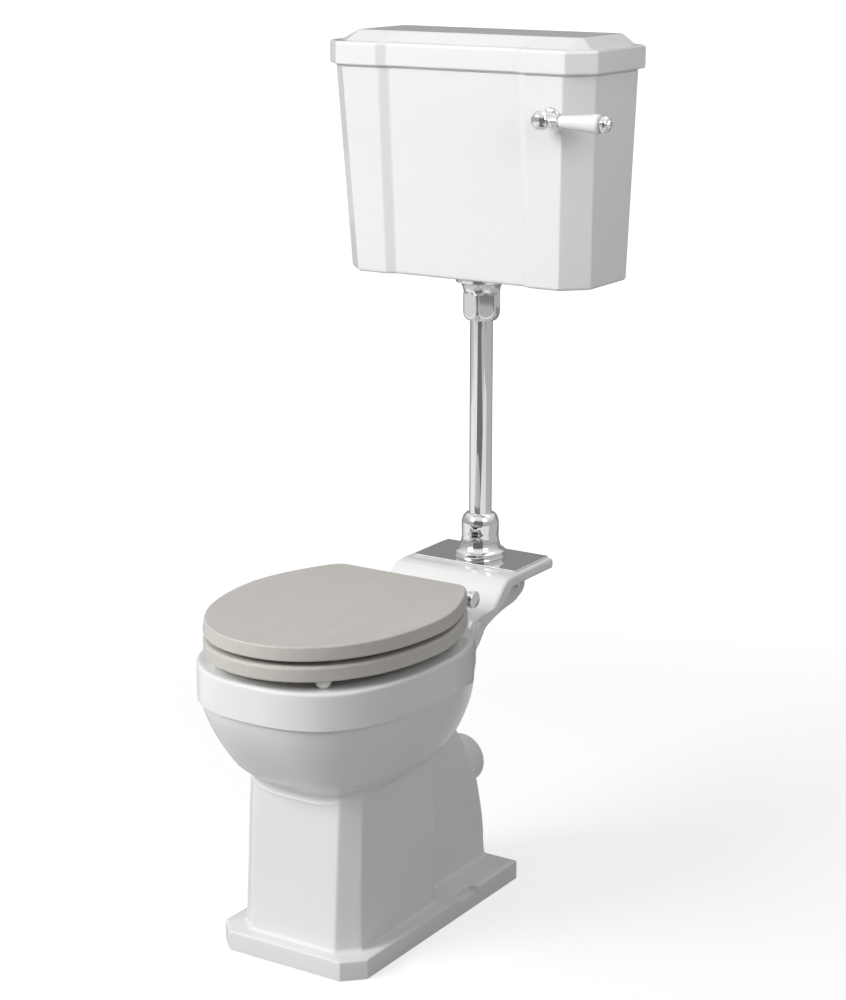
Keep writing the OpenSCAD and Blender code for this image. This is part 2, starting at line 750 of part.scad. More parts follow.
cistern_lean = atan((cistern_top_d - cistern_foot_d) / cistern_h);
lever_z = cistern_z + lever_h;
lever_face_y = cistern_back - mix(cistern_foot_d, cistern_top_d, lever_h / cistern_h);
crank_reach = (pipe_y - lever_face_y) / cos(cistern_lean);
pin_r = 2.5;
pin_mid_z = lever_z + crank_reach * sin(cistern_lean);
pin_rest_z = pin_mid_z - crank_l * sin(crank_swing) * cos(cistern_lean);
link_t = 3;
eye_z = pin_rest_z;
slot_half = pin_r + crank_l * (1 - cos(crank_swing)) / 2 + 0.8;
slot_rise = pin_r + 0.5;
link_foot = eye_z - 24;

// Frame of the lever: its origin on the leaning front face, its Y axis into the cistern
module lever_frame() {
    translate([lever_x, lever_face_y, lever_z]) rotate([cistern_lean, 0, 0]) children();
}

module lift_rod() {
    color(metal_bright) translate([chamber_x, pipe_y, piston_z - 4]) {
        cylinder(r = rod_r, h = link_foot + 8 - piston_z + 4);
        cylinder(r = rod_r + 3, h = 4 - seat_clear);
    }
}

module lift_link() {
    eye_r = slot_half + 4;
    color(plastic_white) difference() {
        union() {
            translate([chamber_x, pipe_y, link_foot]) cylinder(r = 6.5, h = 10);
            translate([chamber_x - 5, pipe_y - link_t / 2, link_foot + 2]) cube([10, link_t, eye_z - link_foot - 4]);
            along_y(chamber_x, pipe_y - link_t / 2, eye_z) cylinder(r = eye_r, h = link_t);
        }
        for (side = [-1, 1]) {
            along_y(chamber_x + side * (slot_half - slot_rise), pipe_y - link_t, eye_z)
                cylinder(r = slot_rise, h = 2 * link_t);
        }
        translate([chamber_x - slot_half + slot_rise, pipe_y - link_t, eye_z - slot_rise])
            cube([2 * (slot_half - slot_rise), 2 * link_t, 2 * slot_rise]);
        translate([chamber_x, pipe_y, link_foot - cut]) cylinder(r = rod_r + fitted, h = 9 + cut);
    }
}

spindle_r = spindle_d / 2;
bush_r = 8.5;
lever_hole_r = 9;
boss_r = 16;
boss_t = 5;
hub_out = 35;
hub_r = 16;
hub_t = 14;

module lever_boss() {
    color(metal_bright) lever_frame() along_y(0, -seat_clear, 0) mirror([0, 0, 1]) difference() {
        rotate_extrude() polygon([[0, 0], [boss_r, 0], [boss_r, 2], [boss_r - 2, boss_t], [11, boss_t + 1],
            [9.5, boss_t + 4], [9.5, hub_out - hub_t / 2 - 5 - seat_clear], [0, hub_out - hub_t / 2 - 5 - seat_clear]]);
        translate([0, 0, -cut]) cylinder(r = spindle_r + running, h = hub_out);
    }
}

module lever_bush() {
    color(brass_yellow) lever_frame() along_y(0, 0, 0)
        tube(bush_r, spindle_r + running, 0, cistern_wall + 16);
}

module bush_washer() {
    color(rubber_black) lever_frame() along_y(0, 0, 0)
        tube(14.5, bush_r + fitted, cistern_wall + 0.7, cistern_wall + 3);
}

module bush_nut() {
    color(brass_yellow) lever_frame() along_y(0, 0, 0) difference() {
        translate([0, 0, cistern_wall + 3.3]) cylinder(r = 14.5, h = 7, $fn = 6);
        translate([0, 0, cistern_wall + 2]) cylinder(r = bush_r + fitted, h = 10);
    }
}

module lever_spindle() {
    color(brass_yellow) lever_frame() along_y(0, -hub_out, 0) cylinder(r = spindle_r, h = hub_out + crank_reach + 6);
}

stem_r = 7;
collar_x = 24;
grip_x = 35.5;
finial_x = lever_l - 17;

// Eight-sided hub with a domed front
module lever_hub() {
    color(metal_bright) lever_frame() along_y(0, -hub_out + hub_t / 2 + 4, 0) mirror([0, 0, 1]) difference() {
        intersection() {
            rotate([0, 0, 22.5]) cylinder(r = hub_r + 0.5, h = hub_t + 12, $fn = 8);
            rotate_extrude() polygon([[0, 0], [hub_r - 4, 0], [hub_r, 4], [hub_r, hub_t - 1], [hub_r - 3, hub_t + 3.5],
                [hub_r - 8, hub_t + 6.5], [0, hub_t + 8]]);
        }
        translate([0, 0, -cut]) cylinder(r = spindle_r + fitted, h = hub_t / 2 + 4 + 2 * cut);
        translate([0, 0, hub_t / 2 + 4]) rotate([0, 90, 0]) cylinder(r = 4 + fitted, h = hub_r + cut);
    }
}

module lever_stem() {
    hub_flat = (hub_r + 0.5) * cos(22.5);
    color(metal_bright) lever_frame() along_x(0, -hub_out, 0) union() {
        translate([0, 0, spindle_r + 2]) cylinder(r = 4, h = hub_flat);
        rotate_extrude() polygon([[0, hub_flat + seat_clear], [stem_r + 1, hub_flat + seat_clear],
            [stem_r, hub_flat + 2], [stem_r, collar_x - 1], [11, collar_x], [13.5, collar_x + 1.5],
            [13.5, collar_x + 4], [11, collar_x + 5.2], [11, collar_x + 6], [13.5, collar_x + 7.2],
            [13.5, collar_x + 9.5], [10, grip_x - seat_clear], [0, grip_x - seat_clear]]);
        translate([0, 0, grip_x - 1]) cylinder(r = 3, h = finial_x - grip_x + 9);
    }
}

grip_r0 = 9.5;
grip_r1 = 15;
grip_end = finial_x - seat_clear;

module lever_grip() {
    l = grip_end - grip_x;
    color(china_white) lever_frame() along_x(0, -hub_out, 0) difference() {
        rotate_extrude() polygon(concat(
            [[0, grip_x], [grip_r0, grip_x]],
            [for (i = [1:7]) [mix(grip_r0, grip_r1, pow(i / 7, 1.25)), grip_x + (l - 7) * i / 7]],
            [for (a = [20:20:80]) [8 + (grip_r1 - 8) * cos(a), grip_end - 7 + 7 * sin(a)]],
            [[8, grip_end], [0, grip_end]]
        ));
        translate([0, 0, grip_x - cut]) cylinder(r = 3 + fitted, h = l + 2 * cut);
    }
}

module lever_finial() {
    color(metal_bright) lever_frame() along_x(0, -hub_out, 0) difference() {
        intersection() {
            rotate([0, 0, 22.5]) cylinder(r = 13.9, h = lever_l + cut, $fn = 8);
            rotate_extrude() polygon([[0, finial_x], [10, finial_x], [10.5, finial_x + 2.5], [13.5, finial_x + 4],
                [13.5, finial_x + 8.5], [10.5, finial_x + 12.5], [7, lever_l - 2.5], [5.5, lever_l - 0.6], [3, lever_l],
                [0, lever_l]]);
        }
        translate([0, 0, finial_x - cut]) cylinder(r = 3 + fitted, h = 9.4 + cut);
    }
}

crank_hub_r = 10;
crank_t = 4;
// The crank's plate stands clear of the link, and its peg reaches through the link's eye
crank_plate_y = crank_reach + link_t / 2 + 3.2;

module crank_arm() {
    color(brass_yellow) lever_frame() rotate([0, -crank_swing, 0]) difference() {
        union() {
            along_y(0, crank_plate_y - 6, 0) cylinder(r = crank_hub_r, h = 10);
            along_y(-crank_l, crank_plate_y, 0) cylinder(r = 7, h = crank_t);
            translate([-crank_l, crank_plate_y, -6]) cube([crank_l, crank_t, 12]);
            along_y(-crank_l, crank_plate_y - 11, 0) cylinder(r = pin_r, h = 12);
        }
        along_y(0, crank_plate_y - 7, 0) cylinder(r = spindle_r + fitted, h = 12);
        translate([0, crank_plate_y - 3, 0]) cylinder(r = 2 + fitted, h = 20);
    }
}

module crank_screw() {
    color(metal_bright) lever_frame() rotate([0, -crank_swing, 0])
        translate([0, crank_plate_y - 3, spindle_r + fitted]) cylinder(r = 2, h = 8);
}

// Float valve

inlet_z = cistern_z + cistern_h - inlet_drop;
inlet_side_x = mix(cistern_foot_w, cistern_top_w, 1 - inlet_drop / cistern_h) / 2;
// The tail's outer end takes a tap connector, and its thicker shank holds the washer and the back nut
tail_thread_r = 10.4;
tail_grip = 18;
shank_r = 11.2;
valve_flange_r = 16;
valve_outlet_l = 26;
discharge_l = 0.35 * cistern_h;
discharge_r = 10.5;
washer_r = 15.5;
tail_out = 31;
// The cistern's side leans out by this much for each millimetre of height
side_lean = (cistern_top_w - cistern_foot_w) / 2 / cistern_h;
side_clear = 0.2;
// The flange stands this far inside the wall, and the outlet this much farther in, where the tube below it clears
// the leaning side
flange_off = 3.5;
outlet_in = max(13, discharge_r + side_lean * (valve_flange_r + discharge_l) + side_clear - flange_off);
// The washer stands off the side until its upper edge clears it
washer_off = max(1.3, side_lean * washer_r + side_clear);
inlet_washer_t = 2.6;
pivot_x = -inlet_side_x + 50;
pivot_r = 2.5;
arm_lug = 3;

module valve_body() {
    inner_x = -inlet_side_x + cistern_wall + flange_off;
    color(brass_yellow) difference() {
        union() {
            along_x(-inlet_side_x - tail_out, inlet_y, inlet_z) cylinder(r = tail_thread_r, h = tail_grip + 1);
            along_x(-inlet_side_x - tail_out + tail_grip, inlet_y, inlet_z)
                cylinder(r = shank_r, h = tail_out - tail_grip + cistern_wall + 6);
            along_x(inner_x, inlet_y, inlet_z) cylinder(r = valve_flange_r, h = 4);
            along_x(inner_x, inlet_y, inlet_z) cylinder(r = 12, h = 22);
            translate([inner_x + 18, inlet_y - 6, inlet_z - 6]) cube([pivot_x + 6 - inner_x - 18, 12, 12]);
            translate([inner_x + outlet_in, inlet_y, inlet_z - valve_outlet_l]) cylinder(r = 8, h = valve_outlet_l);
        }
        along_x(-inlet_side_x - tail_out - cut, inlet_y, inlet_z) cylinder(r = 7, h = tail_out + 20);
        translate([inner_x + outlet_in, inlet_y, inlet_z - valve_outlet_l - cut])
            cylinder(r = 5, h = valve_outlet_l - 4);
        translate([pivot_x - 6, inlet_y - arm_lug / 2 - 0.4, inlet_z - 10]) cube([20, arm_lug + 0.8, 20]);
        along_y(pivot_x, inlet_y - 10, inlet_z) cylinder(r = pivot_r + running, h = 20);
    }
}

module inlet_washer() {
    color(rubber_black) along_x(0, inlet_y, inlet_z)
        tube(washer_r, shank_r + fitted, -inlet_side_x - washer_off - inlet_washer_t, -inlet_side_x - washer_off);
}

module inlet_back_nut() {
    color(brass_yellow) along_x(0, inlet_y, inlet_z) difference() {
        translate([0, 0, -inlet_side_x - washer_off - 11.2]) cylinder(r = 17, h = 8.3, $fn = 6);
        translate([0, 0, -inlet_side_x - washer_off - 12.7]) cylinder(r = shank_r + fitted, h = 12);
    }
}

module discharge_tube() {
    x = -inlet_side_x + cistern_wall + flange_off + outlet_in;
    color(plastic_white) translate([x, inlet_y, 0])
        tube(discharge_r, 8 + fitted, inlet_z - valve_flange_r - discharge_l, inlet_z - valve_flange_r - 0.5);
}

module arm_pivot_pin() {
    color(metal_bright) along_y(pivot_x, inlet_y - 7, inlet_z) cylinder(r = pivot_r, h = 14);
}

module float_frame() {
    translate([pivot_x, inlet_y, inlet_z]) rotate([0, float_drop, 0]) children();
}

module float_arm() {
    color(brass_yellow) float_frame() difference() {
        union() {
            along_y(0, -arm_lug / 2, 0) cylinder(r = 6, h = arm_lug);
            translate([0, -arm_lug / 2, -4]) cube([14, arm_lug, 8]);
            along_x(12, 0, 0) cylinder(r = 3, h = float_arm_l - 12);
        }
        along_y(0, -arm_lug, 0) cylinder(r = pivot_r + running, h = 2 * arm_lug);
    }
}

module float_ball() {
    color(plastic_blue) float_frame() difference() {
        translate([float_arm_l, 0, 0]) sphere(r = float_d / 2);
        along_x(0, 0, 0) cylinder(r = 3 + fitted, h = float_arm_l + 1);
    }
}

// Cistern

// Outline of the cistern at height z, drawn in by an inset; level takes away the panel's recess
function cistern_ring(z, inset, level = 0) =
    let (t = (z - cistern_z) / cistern_h)
    panelled(mix(cistern_foot_w, cistern_top_w, t), cistern_back - mix(cistern_foot_d, cistern_top_d, t) + level,
        cistern_back, cistern_chamfer, panel_w, panel_slope, panel_depth - level, inset, z);

cistern_top = cistern_z + cistern_h;
wall_fix_z = cistern_top - 46;
wall_fix_r = 5;
pad_r = 20;
inlet_hole = shank_r + 1.1;

module cistern_body() {
    color(china_white) difference() {
        union() {
            skin([
                cistern_ring(cistern_z + 1, 24, panel_depth),
                cistern_ring(cistern_z, 6),
                cistern_ring(cistern_z + 1.5, 2),
                cistern_ring(cistern_z + 5, 0),
                cistern_ring(cistern_top - 1.5, 0),
                cistern_ring(cistern_top, 1.5),
                cistern_ring(cistern_top - 0.3, cistern_wall - 1.5),
                cistern_ring(cistern_top - 2, cistern_wall),
                cistern_ring(floor_z + 5, cistern_wall),
                cistern_ring(floor_z, cistern_wall + 6, panel_depth)
            ]);
            mirrored_x() {
                along_y(wall_fix_spacing / 2, cistern_back - 4, wall_fix_z) cylinder(r = pad_r, h = 4 + pad_t);
            }
        }
        translate([0, pipe_y, cistern_z - cut]) cylinder(r = tail_r + 1.5, h = cistern_floor + 2 * cut);
        mirrored_x() {
            along_y(wall_fix_spacing / 2, cistern_back - cistern_wall - 5, wall_fix_z)
                cylinder(r = wall_fix_r, h = cistern_wall + pad_t + 10);
        }
        along_x(-inlet_side_x - 5, inlet_y, inlet_z) cylinder(r = inlet_hole, h = cistern_wall + 10);
        lever_frame() along_y(0, -5, 0) cylinder(r = lever_hole_r, h = cistern_wall + 10);
    }
}

lid_w = cistern_top_w + 2 * lid_over;
lid_front = cistern_back - cistern_top_d - lid_over;
lid_back = cistern_back + pad_t;
lid_z = cistern_top + seat_clear;
lid_drip = 2.7;
ledge_z = cistern_top + 3 + lid_band;
ledge_w = 18;
slope_side = 24;
slope_front = 43;

// Outline of the lid at height z, drawn in from its band by separate amounts
function lid_section(z, side, front, rear, chamfer, depth) =
    let (h = lid_w / 2 - side, f = lid_front + front, b = lid_back - rear, p = panel_w / 2)
    [[-h, b, z], [-h, f + chamfer, z], [-h + chamfer, f, z], [-p - panel_slope, f, z], [-p, f + depth, z],
     [p, f + depth, z], [p + panel_slope, f, z], [h - chamfer, f, z], [h, f + chamfer, z], [h, b, z]];

function lid_edge(z, inset) =
    lid_section(z, inset, inset, min(inset, 2), cistern_chamfer - inset * 0.58, panel_depth);

function lid_foot(z) =
    lid_section(z, lid_over + 0.5, lid_over + 0.5, pad_t + 0.5, cistern_chamfer - 4, panel_depth);

// Outline part of the way up the lid's slope: t is 0 at its foot and 1 at the flat top
function lid_slope(t, rise) =
    lid_section(ledge_z + lid_rise * rise, ledge_w + slope_side * t, ledge_w + slope_front * t, 2,
        mix(cistern_chamfer - 10, 3, t), panel_depth * (1 - t));

// Outline of the lip that locates the lid inside the body's walls
function lip_ring(z, inset) = [for (q = cistern_ring(cistern_top, cistern_wall + 2.5 + inset)) [q[0], q[1], z]];

module cistern_lid() {
    color(china_white) skin([
        lip_ring(ledge_z + lid_rise - 11, 36),
        lip_ring(ledge_z - 11, 6),
        lip_ring(cistern_top - 8, 6),
        lip_ring(cistern_top - 9, 4),
        lip_ring(cistern_top - 9, 1.5),
        lip_ring(cistern_top - 7, 0),
        lip_ring(lid_z + 0.4, 0),
        lid_foot(lid_z),
        lid_foot(lid_z + lid_drip),
        lid_edge(lid_z + lid_drip + 0.3, 1.5),
        lid_edge(lid_z + lid_drip + 3, 0),
        lid_edge(ledge_z - 5, 0),
        lid_edge(ledge_z - 1.5, 1.2),
        lid_edge(ledge_z - 0.3, 4),
        lid_edge(ledge_z, ledge_w - 3),
        lid_slope(0, 0.03),
        lid_slope(0.3, 0.28),
        lid_slope(0.75, 0.78),
        lid_slope(0.92, 0.95),
        lid_slope(1, 1)
    ]);
}

// Seat ring and lid

seat_mid = -72;
seat_front_n = 2.14;
seat_side_power = 1.72;
seat_corner = 13;
ring_z = rim_h + seat_clear + ring_buffer_h;
ring_top = ring_z + ring_t;
lid_under = ring_top + seat_gap;
lid_top = lid_under + lid_t;
seat_steps = 14;

// One side of the seat behind its widest place: u runs from 0 there to 1 at the rear edge
function seat_side(u) =
    [seat_w / 2 - (seat_w - seat_back_w) / 2 * pow(u, seat_side_power), mix(seat_mid, seat_back, u)];

function bend(a, b, c, t) = a * (1 - t) * (1 - t) + b * 2 * t * (1 - t) + c * t * t;

// Right half of the seat's outline, from the front centre round to the back
function seat_half() = concat(
    [for (i = [0:seat_steps]) let (a = 90 * i / seat_steps)
        [seat_w / 2 * signed_power(sin(a), 2 / seat_front_n),
         seat_mid - (seat_mid + seat_front) * signed_power(cos(a), 2 / seat_front_n)]],
    [for (i = [1:5]) seat_side(i * 0.172)],
    [for (t = [0.25:0.25:1])
        bend(seat_side(0.86), [seat_back_w / 2, seat_back], [seat_back_w / 2 - seat_corner, seat_back], t)]
);

function seat_ring_at(z, inset) =
    let (half = seat_half(), n = len(half), kx = 1 - inset / (seat_w / 2), ky = 1 - inset / (seat_front + seat_mid))
    [for (q = concat(half, [for (i = [n - 1:-1:1]) [-half[i][0], half[i][1]]]))
        [q[0] * kx, seat_mid + (q[1] - seat_mid) * (q[1] > seat_mid ? 1 - inset / (seat_back - seat_mid) : ky), z]];

ring_hole_front = seat_front - 70;
ring_hole_back = 22;
leaf_t = 2.4;
screw_r = 2;
screw_l = 14;
pillar_x = hinge_spacing / 2;
pillar_half = 9.7;
leaf_w = 22;
ring_leaf_x = pillar_x - pillar_half - 0.5 - leaf_w / 2;
lid_leaf_x = pillar_x + pillar_half + 0.5 + leaf_w / 2;
leaf_front = hinge_y - 74;
screw_ys = [leaf_front + 10, leaf_front + 36];

module seat_ring() {
    color(seat_stone) difference() {
        skin([seat_ring_at(ring_z, 3), seat_ring_at(ring_z + 3, 0), seat_ring_at(ring_top - 5, 0),
            seat_ring_at(ring_top - 1.5, 1.5), seat_ring_at(ring_top, 5)]);
        skin([for (level = [[ring_z - cut, 4], [ring_z + 3, 0], [ring_top - 5, 0], [ring_top + cut, 6]])
            oval(ring_hole_w / 2 + level[1], -ring_hole_front - level[1], seat_mid - 5, ring_hole_back + level[1],
                2.1, 2.4, level[0], 40)]);
        mirrored_x() {
            for (y = screw_ys) {
                translate([ring_leaf_x, y, ring_top - screw_l]) cylinder(r = screw_r + running, h = screw_l + cut);
            }
        }
    }
}

module seat_lid() {
    color(seat_stone) difference() {
        skin([seat_ring_at(lid_under, 2.5), seat_ring_at(lid_under + 2.5, 0), seat_ring_at(lid_top - 6, 0),
            seat_ring_at(lid_top - 2, 1.5), seat_ring_at(lid_top, 6)]);
        mirrored_x() {
            for (y = screw_ys) {
                translate([lid_leaf_x, y, lid_under - cut]) cylinder(r = screw_r + running, h = screw_l + cut);
            }
        }
    }
}

buffer_r = 12;
ring_buffer_at = [[98, -266], [142, 30]];
lid_buffer_at = [[112, -252], [140, -10]];
buffer_gap = 0.2;

module buffer(h) {
    rotate_extrude() polygon([[0, 0], [buffer_r - 6, 0], [buffer_r - 3, 1.2], [buffer_r - 1, 3.5], [buffer_r, 6],
        [buffer_r, h], [0, h]]);
}

module ring_buffers() {
    color(plastic_white) mirrored_x() {
        for (p = ring_buffer_at) {
            translate([p[0], p[1], rim_h + buffer_gap]) buffer(ring_z - rim_h - 2 * buffer_gap);
        }
    }
}

module lid_buffers() {
    color(plastic_white) mirrored_x() {
        for (p = lid_buffer_at) {
            translate([p[0], p[1], ring_top + buffer_gap]) buffer(seat_gap - 2 * buffer_gap);
        }
    }
}

// Hinge

hinge_z = ring_top - 1;
bar_r = hinge_bar_d / 2;
barrel_r = hinge_barrel_d / 2;
cap_r = hinge_cap_d / 2;
cap_x = lid_leaf_x + leaf_w / 2 + 1.5;
cap_t = 11;

// A leaf with its barrel: the plate lies between the wood and the bar's height
module leaf(x, plate_z) {
    difference() {
        union() {
            along_x(x - leaf_w / 2, hinge_y, hinge_z) cylinder(r = barrel_r, h = leaf_w);
            translate([x - leaf_w / 2, leaf_front, plate_z]) cube([leaf_w, hinge_y - leaf_front - 4, leaf_t]);
        }
        along_x(x - leaf_w / 2 - cut, hinge_y, hinge_z) cylinder(r = bar_r + running, h = leaf_w + 2 * cut);
        for (y = screw_ys) {
            translate([x, y, plate_z - cut]) cylinder(r = screw_r + fitted, h = leaf_t + 2 * cut);
        }
    }
}

module ring_leaves() {
    color(metal_bright) mirrored_x() leaf(ring_leaf_x, ring_top + seat_clear);
}

module lid_leaves() {
    color(metal_bright) mirrored_x() leaf(lid_leaf_x, lid_under - seat_clear - leaf_t);
}

// Screw with a flat head, its point along +Z
module wood_screw() {
    cylinder(r = screw_r, h = screw_l - 2);
    translate([0, 0, -1.4]) cylinder(r = 3.8, h = 1.2);
    translate([0, 0, -0.3]) cylinder(r = screw_r, h = 1);
}

module ring_screws() {
    color(brass_yellow) mirrored_x() {
        for (y = screw_ys) {
            translate([ring_leaf_x, y, ring_top + seat_clear + leaf_t]) mirror([0, 0, 1]) wood_screw();
        }
    }
}

module lid_screws() {
    color(brass_yellow) mirrored_x() {
        for (y = screw_ys) {
            translate([lid_leaf_x, y, lid_under - seat_clear - leaf_t]) wood_screw();
        }
    }
}

module hinge_bar() {
    color(metal_bright) along_x(-cap_x - 6, hinge_y, hinge_z) cylinder(r = bar_r, h = 2 * cap_x + 12);
}

module hinge_caps() {
    color(metal_bright) mirrored_x() {
        along_x(cap_x, hinge_y, hinge_z) difference() {
            rotate_extrude() polygon([[0, 0], [cap_r - 1, 0], [cap_r, 1], [cap_r, cap_t - 2], [cap_r - 0.6, cap_t - 0.6],
                [cap_r - 2, cap_t], [0, cap_t]]);
            translate([0, 0, -cut]) cylinder(r = bar_r + fitted, h = 6.3 + cut);
        }
    }
}

washer_z = rim_h + 0.2;
base_z = washer_z + 1.2;

module hinge_pillars() {
    color(metal_bright) mirrored_x() difference() {
        union() {
            translate([pillar_x, hinge_y, base_z]) rotate_extrude()
                polygon([[0, 0], [15.5, 0], [15.5, 2], [13, 4], [9.5, 7], [9, hinge_z - base_z], [0, hinge_z - base_z]]);
            along_x(pillar_x - pillar_half, hinge_y, hinge_z) cylinder(r = barrel_r, h = 2 * pillar_half);
        }
        along_x(pillar_x - pillar_half - cut, hinge_y, hinge_z)
            cylinder(r = bar_r + running, h = 2 * pillar_half + 2 * cut);
        translate([pillar_x, hinge_y, base_z - cut]) cylinder(r = stud_r + fitted, h = 18);
    }
}

module pillar_washers() {
    color(plastic_white) mirrored_x() {
        translate([pillar_x, hinge_y, 0]) tube(16, stud_r + fitted, washer_z, washer_z + 1);
    }
}

module hinge_studs() {
    color(metal_bright) mirrored_x() {
        translate([pillar_x, hinge_y, rim_h - hinge_hole_depth + 2]) cylinder(r = stud_r, h = hinge_hole_depth + 14);
    }
}

module stud_anchors() {
    color(rubber_black) mirrored_x() {
        translate([pillar_x, hinge_y, 0])
            tube(hinge_hole_r - fitted, stud_r + fitted, rim_h - hinge_hole_depth + 9, rim_h - 2);
    }
}

module stud_nuts() {
    color(brass_yellow) mirrored_x() {
        translate([pillar_x, hinge_y, rim_h - hinge_hole_depth + 3]) difference() {
            cylinder(r = hinge_hole_r - 0.3, h = 5.7, $fn = 6);
            translate([0, 0, -cut]) cylinder(r = stud_r + fitted, h = 8);
        }
    }
}

pan();
cover_plate();
plate_studs();
plate_washers();
plate_wing_nuts();
inlet_flange();
inlet_seal();
lower_coupling_nut();
lower_cone_seal();
flush_pipe();
upper_coupling_nut();
upper_cone_seal();
siphon_back_nut();
siphon_washer();
siphon_body();
piston_plate();
piston_diaphragm();
lift_rod();
lift_link();
cistern_body();
cistern_lid();
lever_boss();
lever_bush();
bush_washer();
bush_nut();
lever_spindle();
lever_hub();
lever_stem();
lever_grip();
lever_finial();
crank_arm();
crank_screw();
valve_body();
inlet_washer();
inlet_back_nut();
discharge_tube();
arm_pivot_pin();
float_arm();
float_ball();
seat_ring();
seat_lid();
ring_buffers();
lid_buffers();
ring_leaves();
lid_leaves();
ring_screws();
lid_screws();
hinge_bar();
hinge_caps();
hinge_pillars();
pillar_washers();
hinge_studs();
stud_anchors();
stud_nuts();
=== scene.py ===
"""Looks of a medium level toilet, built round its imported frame.

Lengths in the pieces' classes are in millimetres. The meshes, and the stage's places and sizes,
are in metres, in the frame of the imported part.
"""

import json
import logging
import math
from dataclasses import dataclass
from enum import Enum

import bpy
import numpy as np
from mathutils import Matrix, Vector


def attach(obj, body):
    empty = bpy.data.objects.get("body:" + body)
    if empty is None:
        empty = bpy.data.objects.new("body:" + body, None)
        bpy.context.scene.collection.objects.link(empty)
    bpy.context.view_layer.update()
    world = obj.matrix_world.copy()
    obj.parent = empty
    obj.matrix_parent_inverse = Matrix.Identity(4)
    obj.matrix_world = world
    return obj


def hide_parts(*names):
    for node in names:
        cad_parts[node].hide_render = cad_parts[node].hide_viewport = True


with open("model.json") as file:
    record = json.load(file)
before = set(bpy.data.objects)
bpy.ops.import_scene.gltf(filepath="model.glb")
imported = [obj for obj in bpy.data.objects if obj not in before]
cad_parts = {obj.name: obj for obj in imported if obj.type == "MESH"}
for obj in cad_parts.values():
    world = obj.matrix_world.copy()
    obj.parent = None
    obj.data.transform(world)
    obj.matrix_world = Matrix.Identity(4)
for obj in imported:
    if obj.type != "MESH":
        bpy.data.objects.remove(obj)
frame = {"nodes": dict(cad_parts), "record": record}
LOG = logging.getLogger("toilet")
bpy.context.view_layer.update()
Array = np.ndarray
Socket, Tree, Material = bpy.types.NodeSocket, bpy.types.NodeTree, bpy.types.Material
Pair = tuple[float, float]
Triple = tuple[float, float, float]

# Turns that lay a lathe's axis along X or Y, or to the front: grid @ ALONG_X.T.
ALONG_X = np.array([[0, 0, 1], [0, 1, 0], [-1, 0, 0]], float)
ALONG_Y = np.array([[1, 0, 0], [0, 0, 1], [0, -1, 0]], float)
TO_FRONT = np.array([[1, 0, 0], [0, 0, -1], [0, 1, 0]], float)
UPSIDE_DOWN = np.diag([1.0, -1.0, -1.0])
# Mirrors outlines at x = 0.
MIRROR = np.array([-1.0, 1.0])
# What a 45 degree chamfer's leg loses for each millimetre by which an outline is drawn in.
CHAMFER_LOSS = 2 - math.sqrt(2)


# Small tools for shapes


def mix(a: float | Array, b: float | Array, t: float | Array) -> float | Array:
    """The value a share t of the way from a to b."""
    return a + (b - a) * t


def ease(x: float | Array, low: float, high: float) -> float | Array:
    """A smooth step: 0 below low, 1 above high, with level ends between them."""
    t = np.clip((x - low) / (high - low), 0.0, 1.0)
    return t * t * (3.0 - 2.0 * t)


def rounder(a: Array, b: Array, k: float) -> Array:
    """The smaller of two lengths, rounded over a band k where they are nearly equal."""
    h = np.clip(1.0 - np.abs(a - b) / k, 0.0, 1.0)
    return np.minimum(a, b) - h * h * k / 4.0


def filleted(a: Array, b: Array, k: float) -> Array:
    """The larger of two lengths, filled over a band k where they are nearly equal."""
    return -rounder(-a, -b, k)


def quarter(points: int) -> tuple[Array, Array]:
    """Over a quarter turn, one less its sine, from 1 to 0, and one less its cosine, from 0 to 1."""
    a = np.linspace(0, math.pi / 2, points)
    return 1 - np.sin(a), 1 - np.cos(a)


def oval(angle: Array, side: Array, front: Array, back: Array, n: Array) -> Array:
    """Radius of a superellipse of power n, whose front and back halves may differ in length."""
    end = np.where(np.sin(angle) < 0, front, back)
    return (np.abs(np.cos(angle) / side) ** n + np.abs(np.sin(angle) / end) ** n) ** (-1.0 / n)


def plane_radius(distance: Array, toward: Array) -> Array:
    """Radius at which rays meet a plane: its distance over the cosine between ray and normal."""
    return distance / np.maximum(toward, 1e-3)


def around(radius: Array, angle: Array, z: float | Array, centre: float = 0.0) -> Array:
    """Points at each radius, angle and height about an upright axis at y = centre."""
    x, y = radius * np.cos(angle), centre + radius * np.sin(angle)
    return np.stack(np.broadcast_arrays(x, y, z), axis=-1)


def smooth_curve(x: Array, table: Array) -> list[Array]:
    """Curves through given points, with each slope taken from the neighbours (cubic Hermite).

    Args:
        x: places at which the curves are wanted; past the table's ends they stay level.
        table: a row for each given point: its place, in rising order, and each curve's value.

    Returns:
        The values of each curve.
    """
    xs, ys = table[:, 0], table[:, 1:]
    slopes = np.gradient(ys, xs, axis=0)
    x = np.clip(x, xs[0], xs[-1])
    i = np.clip(np.searchsorted(xs, x, side="right") - 1, 0, len(xs) - 2)
    h = xs[i + 1] - xs[i]
    t = (x - xs[i]) / h
    return [(1 + 2 * t) * (1 - t) ** 2 * y[i] + t * (1 - t) ** 2 * h * slope[i]
            + t * t * (3 - 2 * t) * y[i + 1] + t * t * (t - 1) * h * slope[i + 1]
            for y, slope in zip(ys.T, slopes.T)]


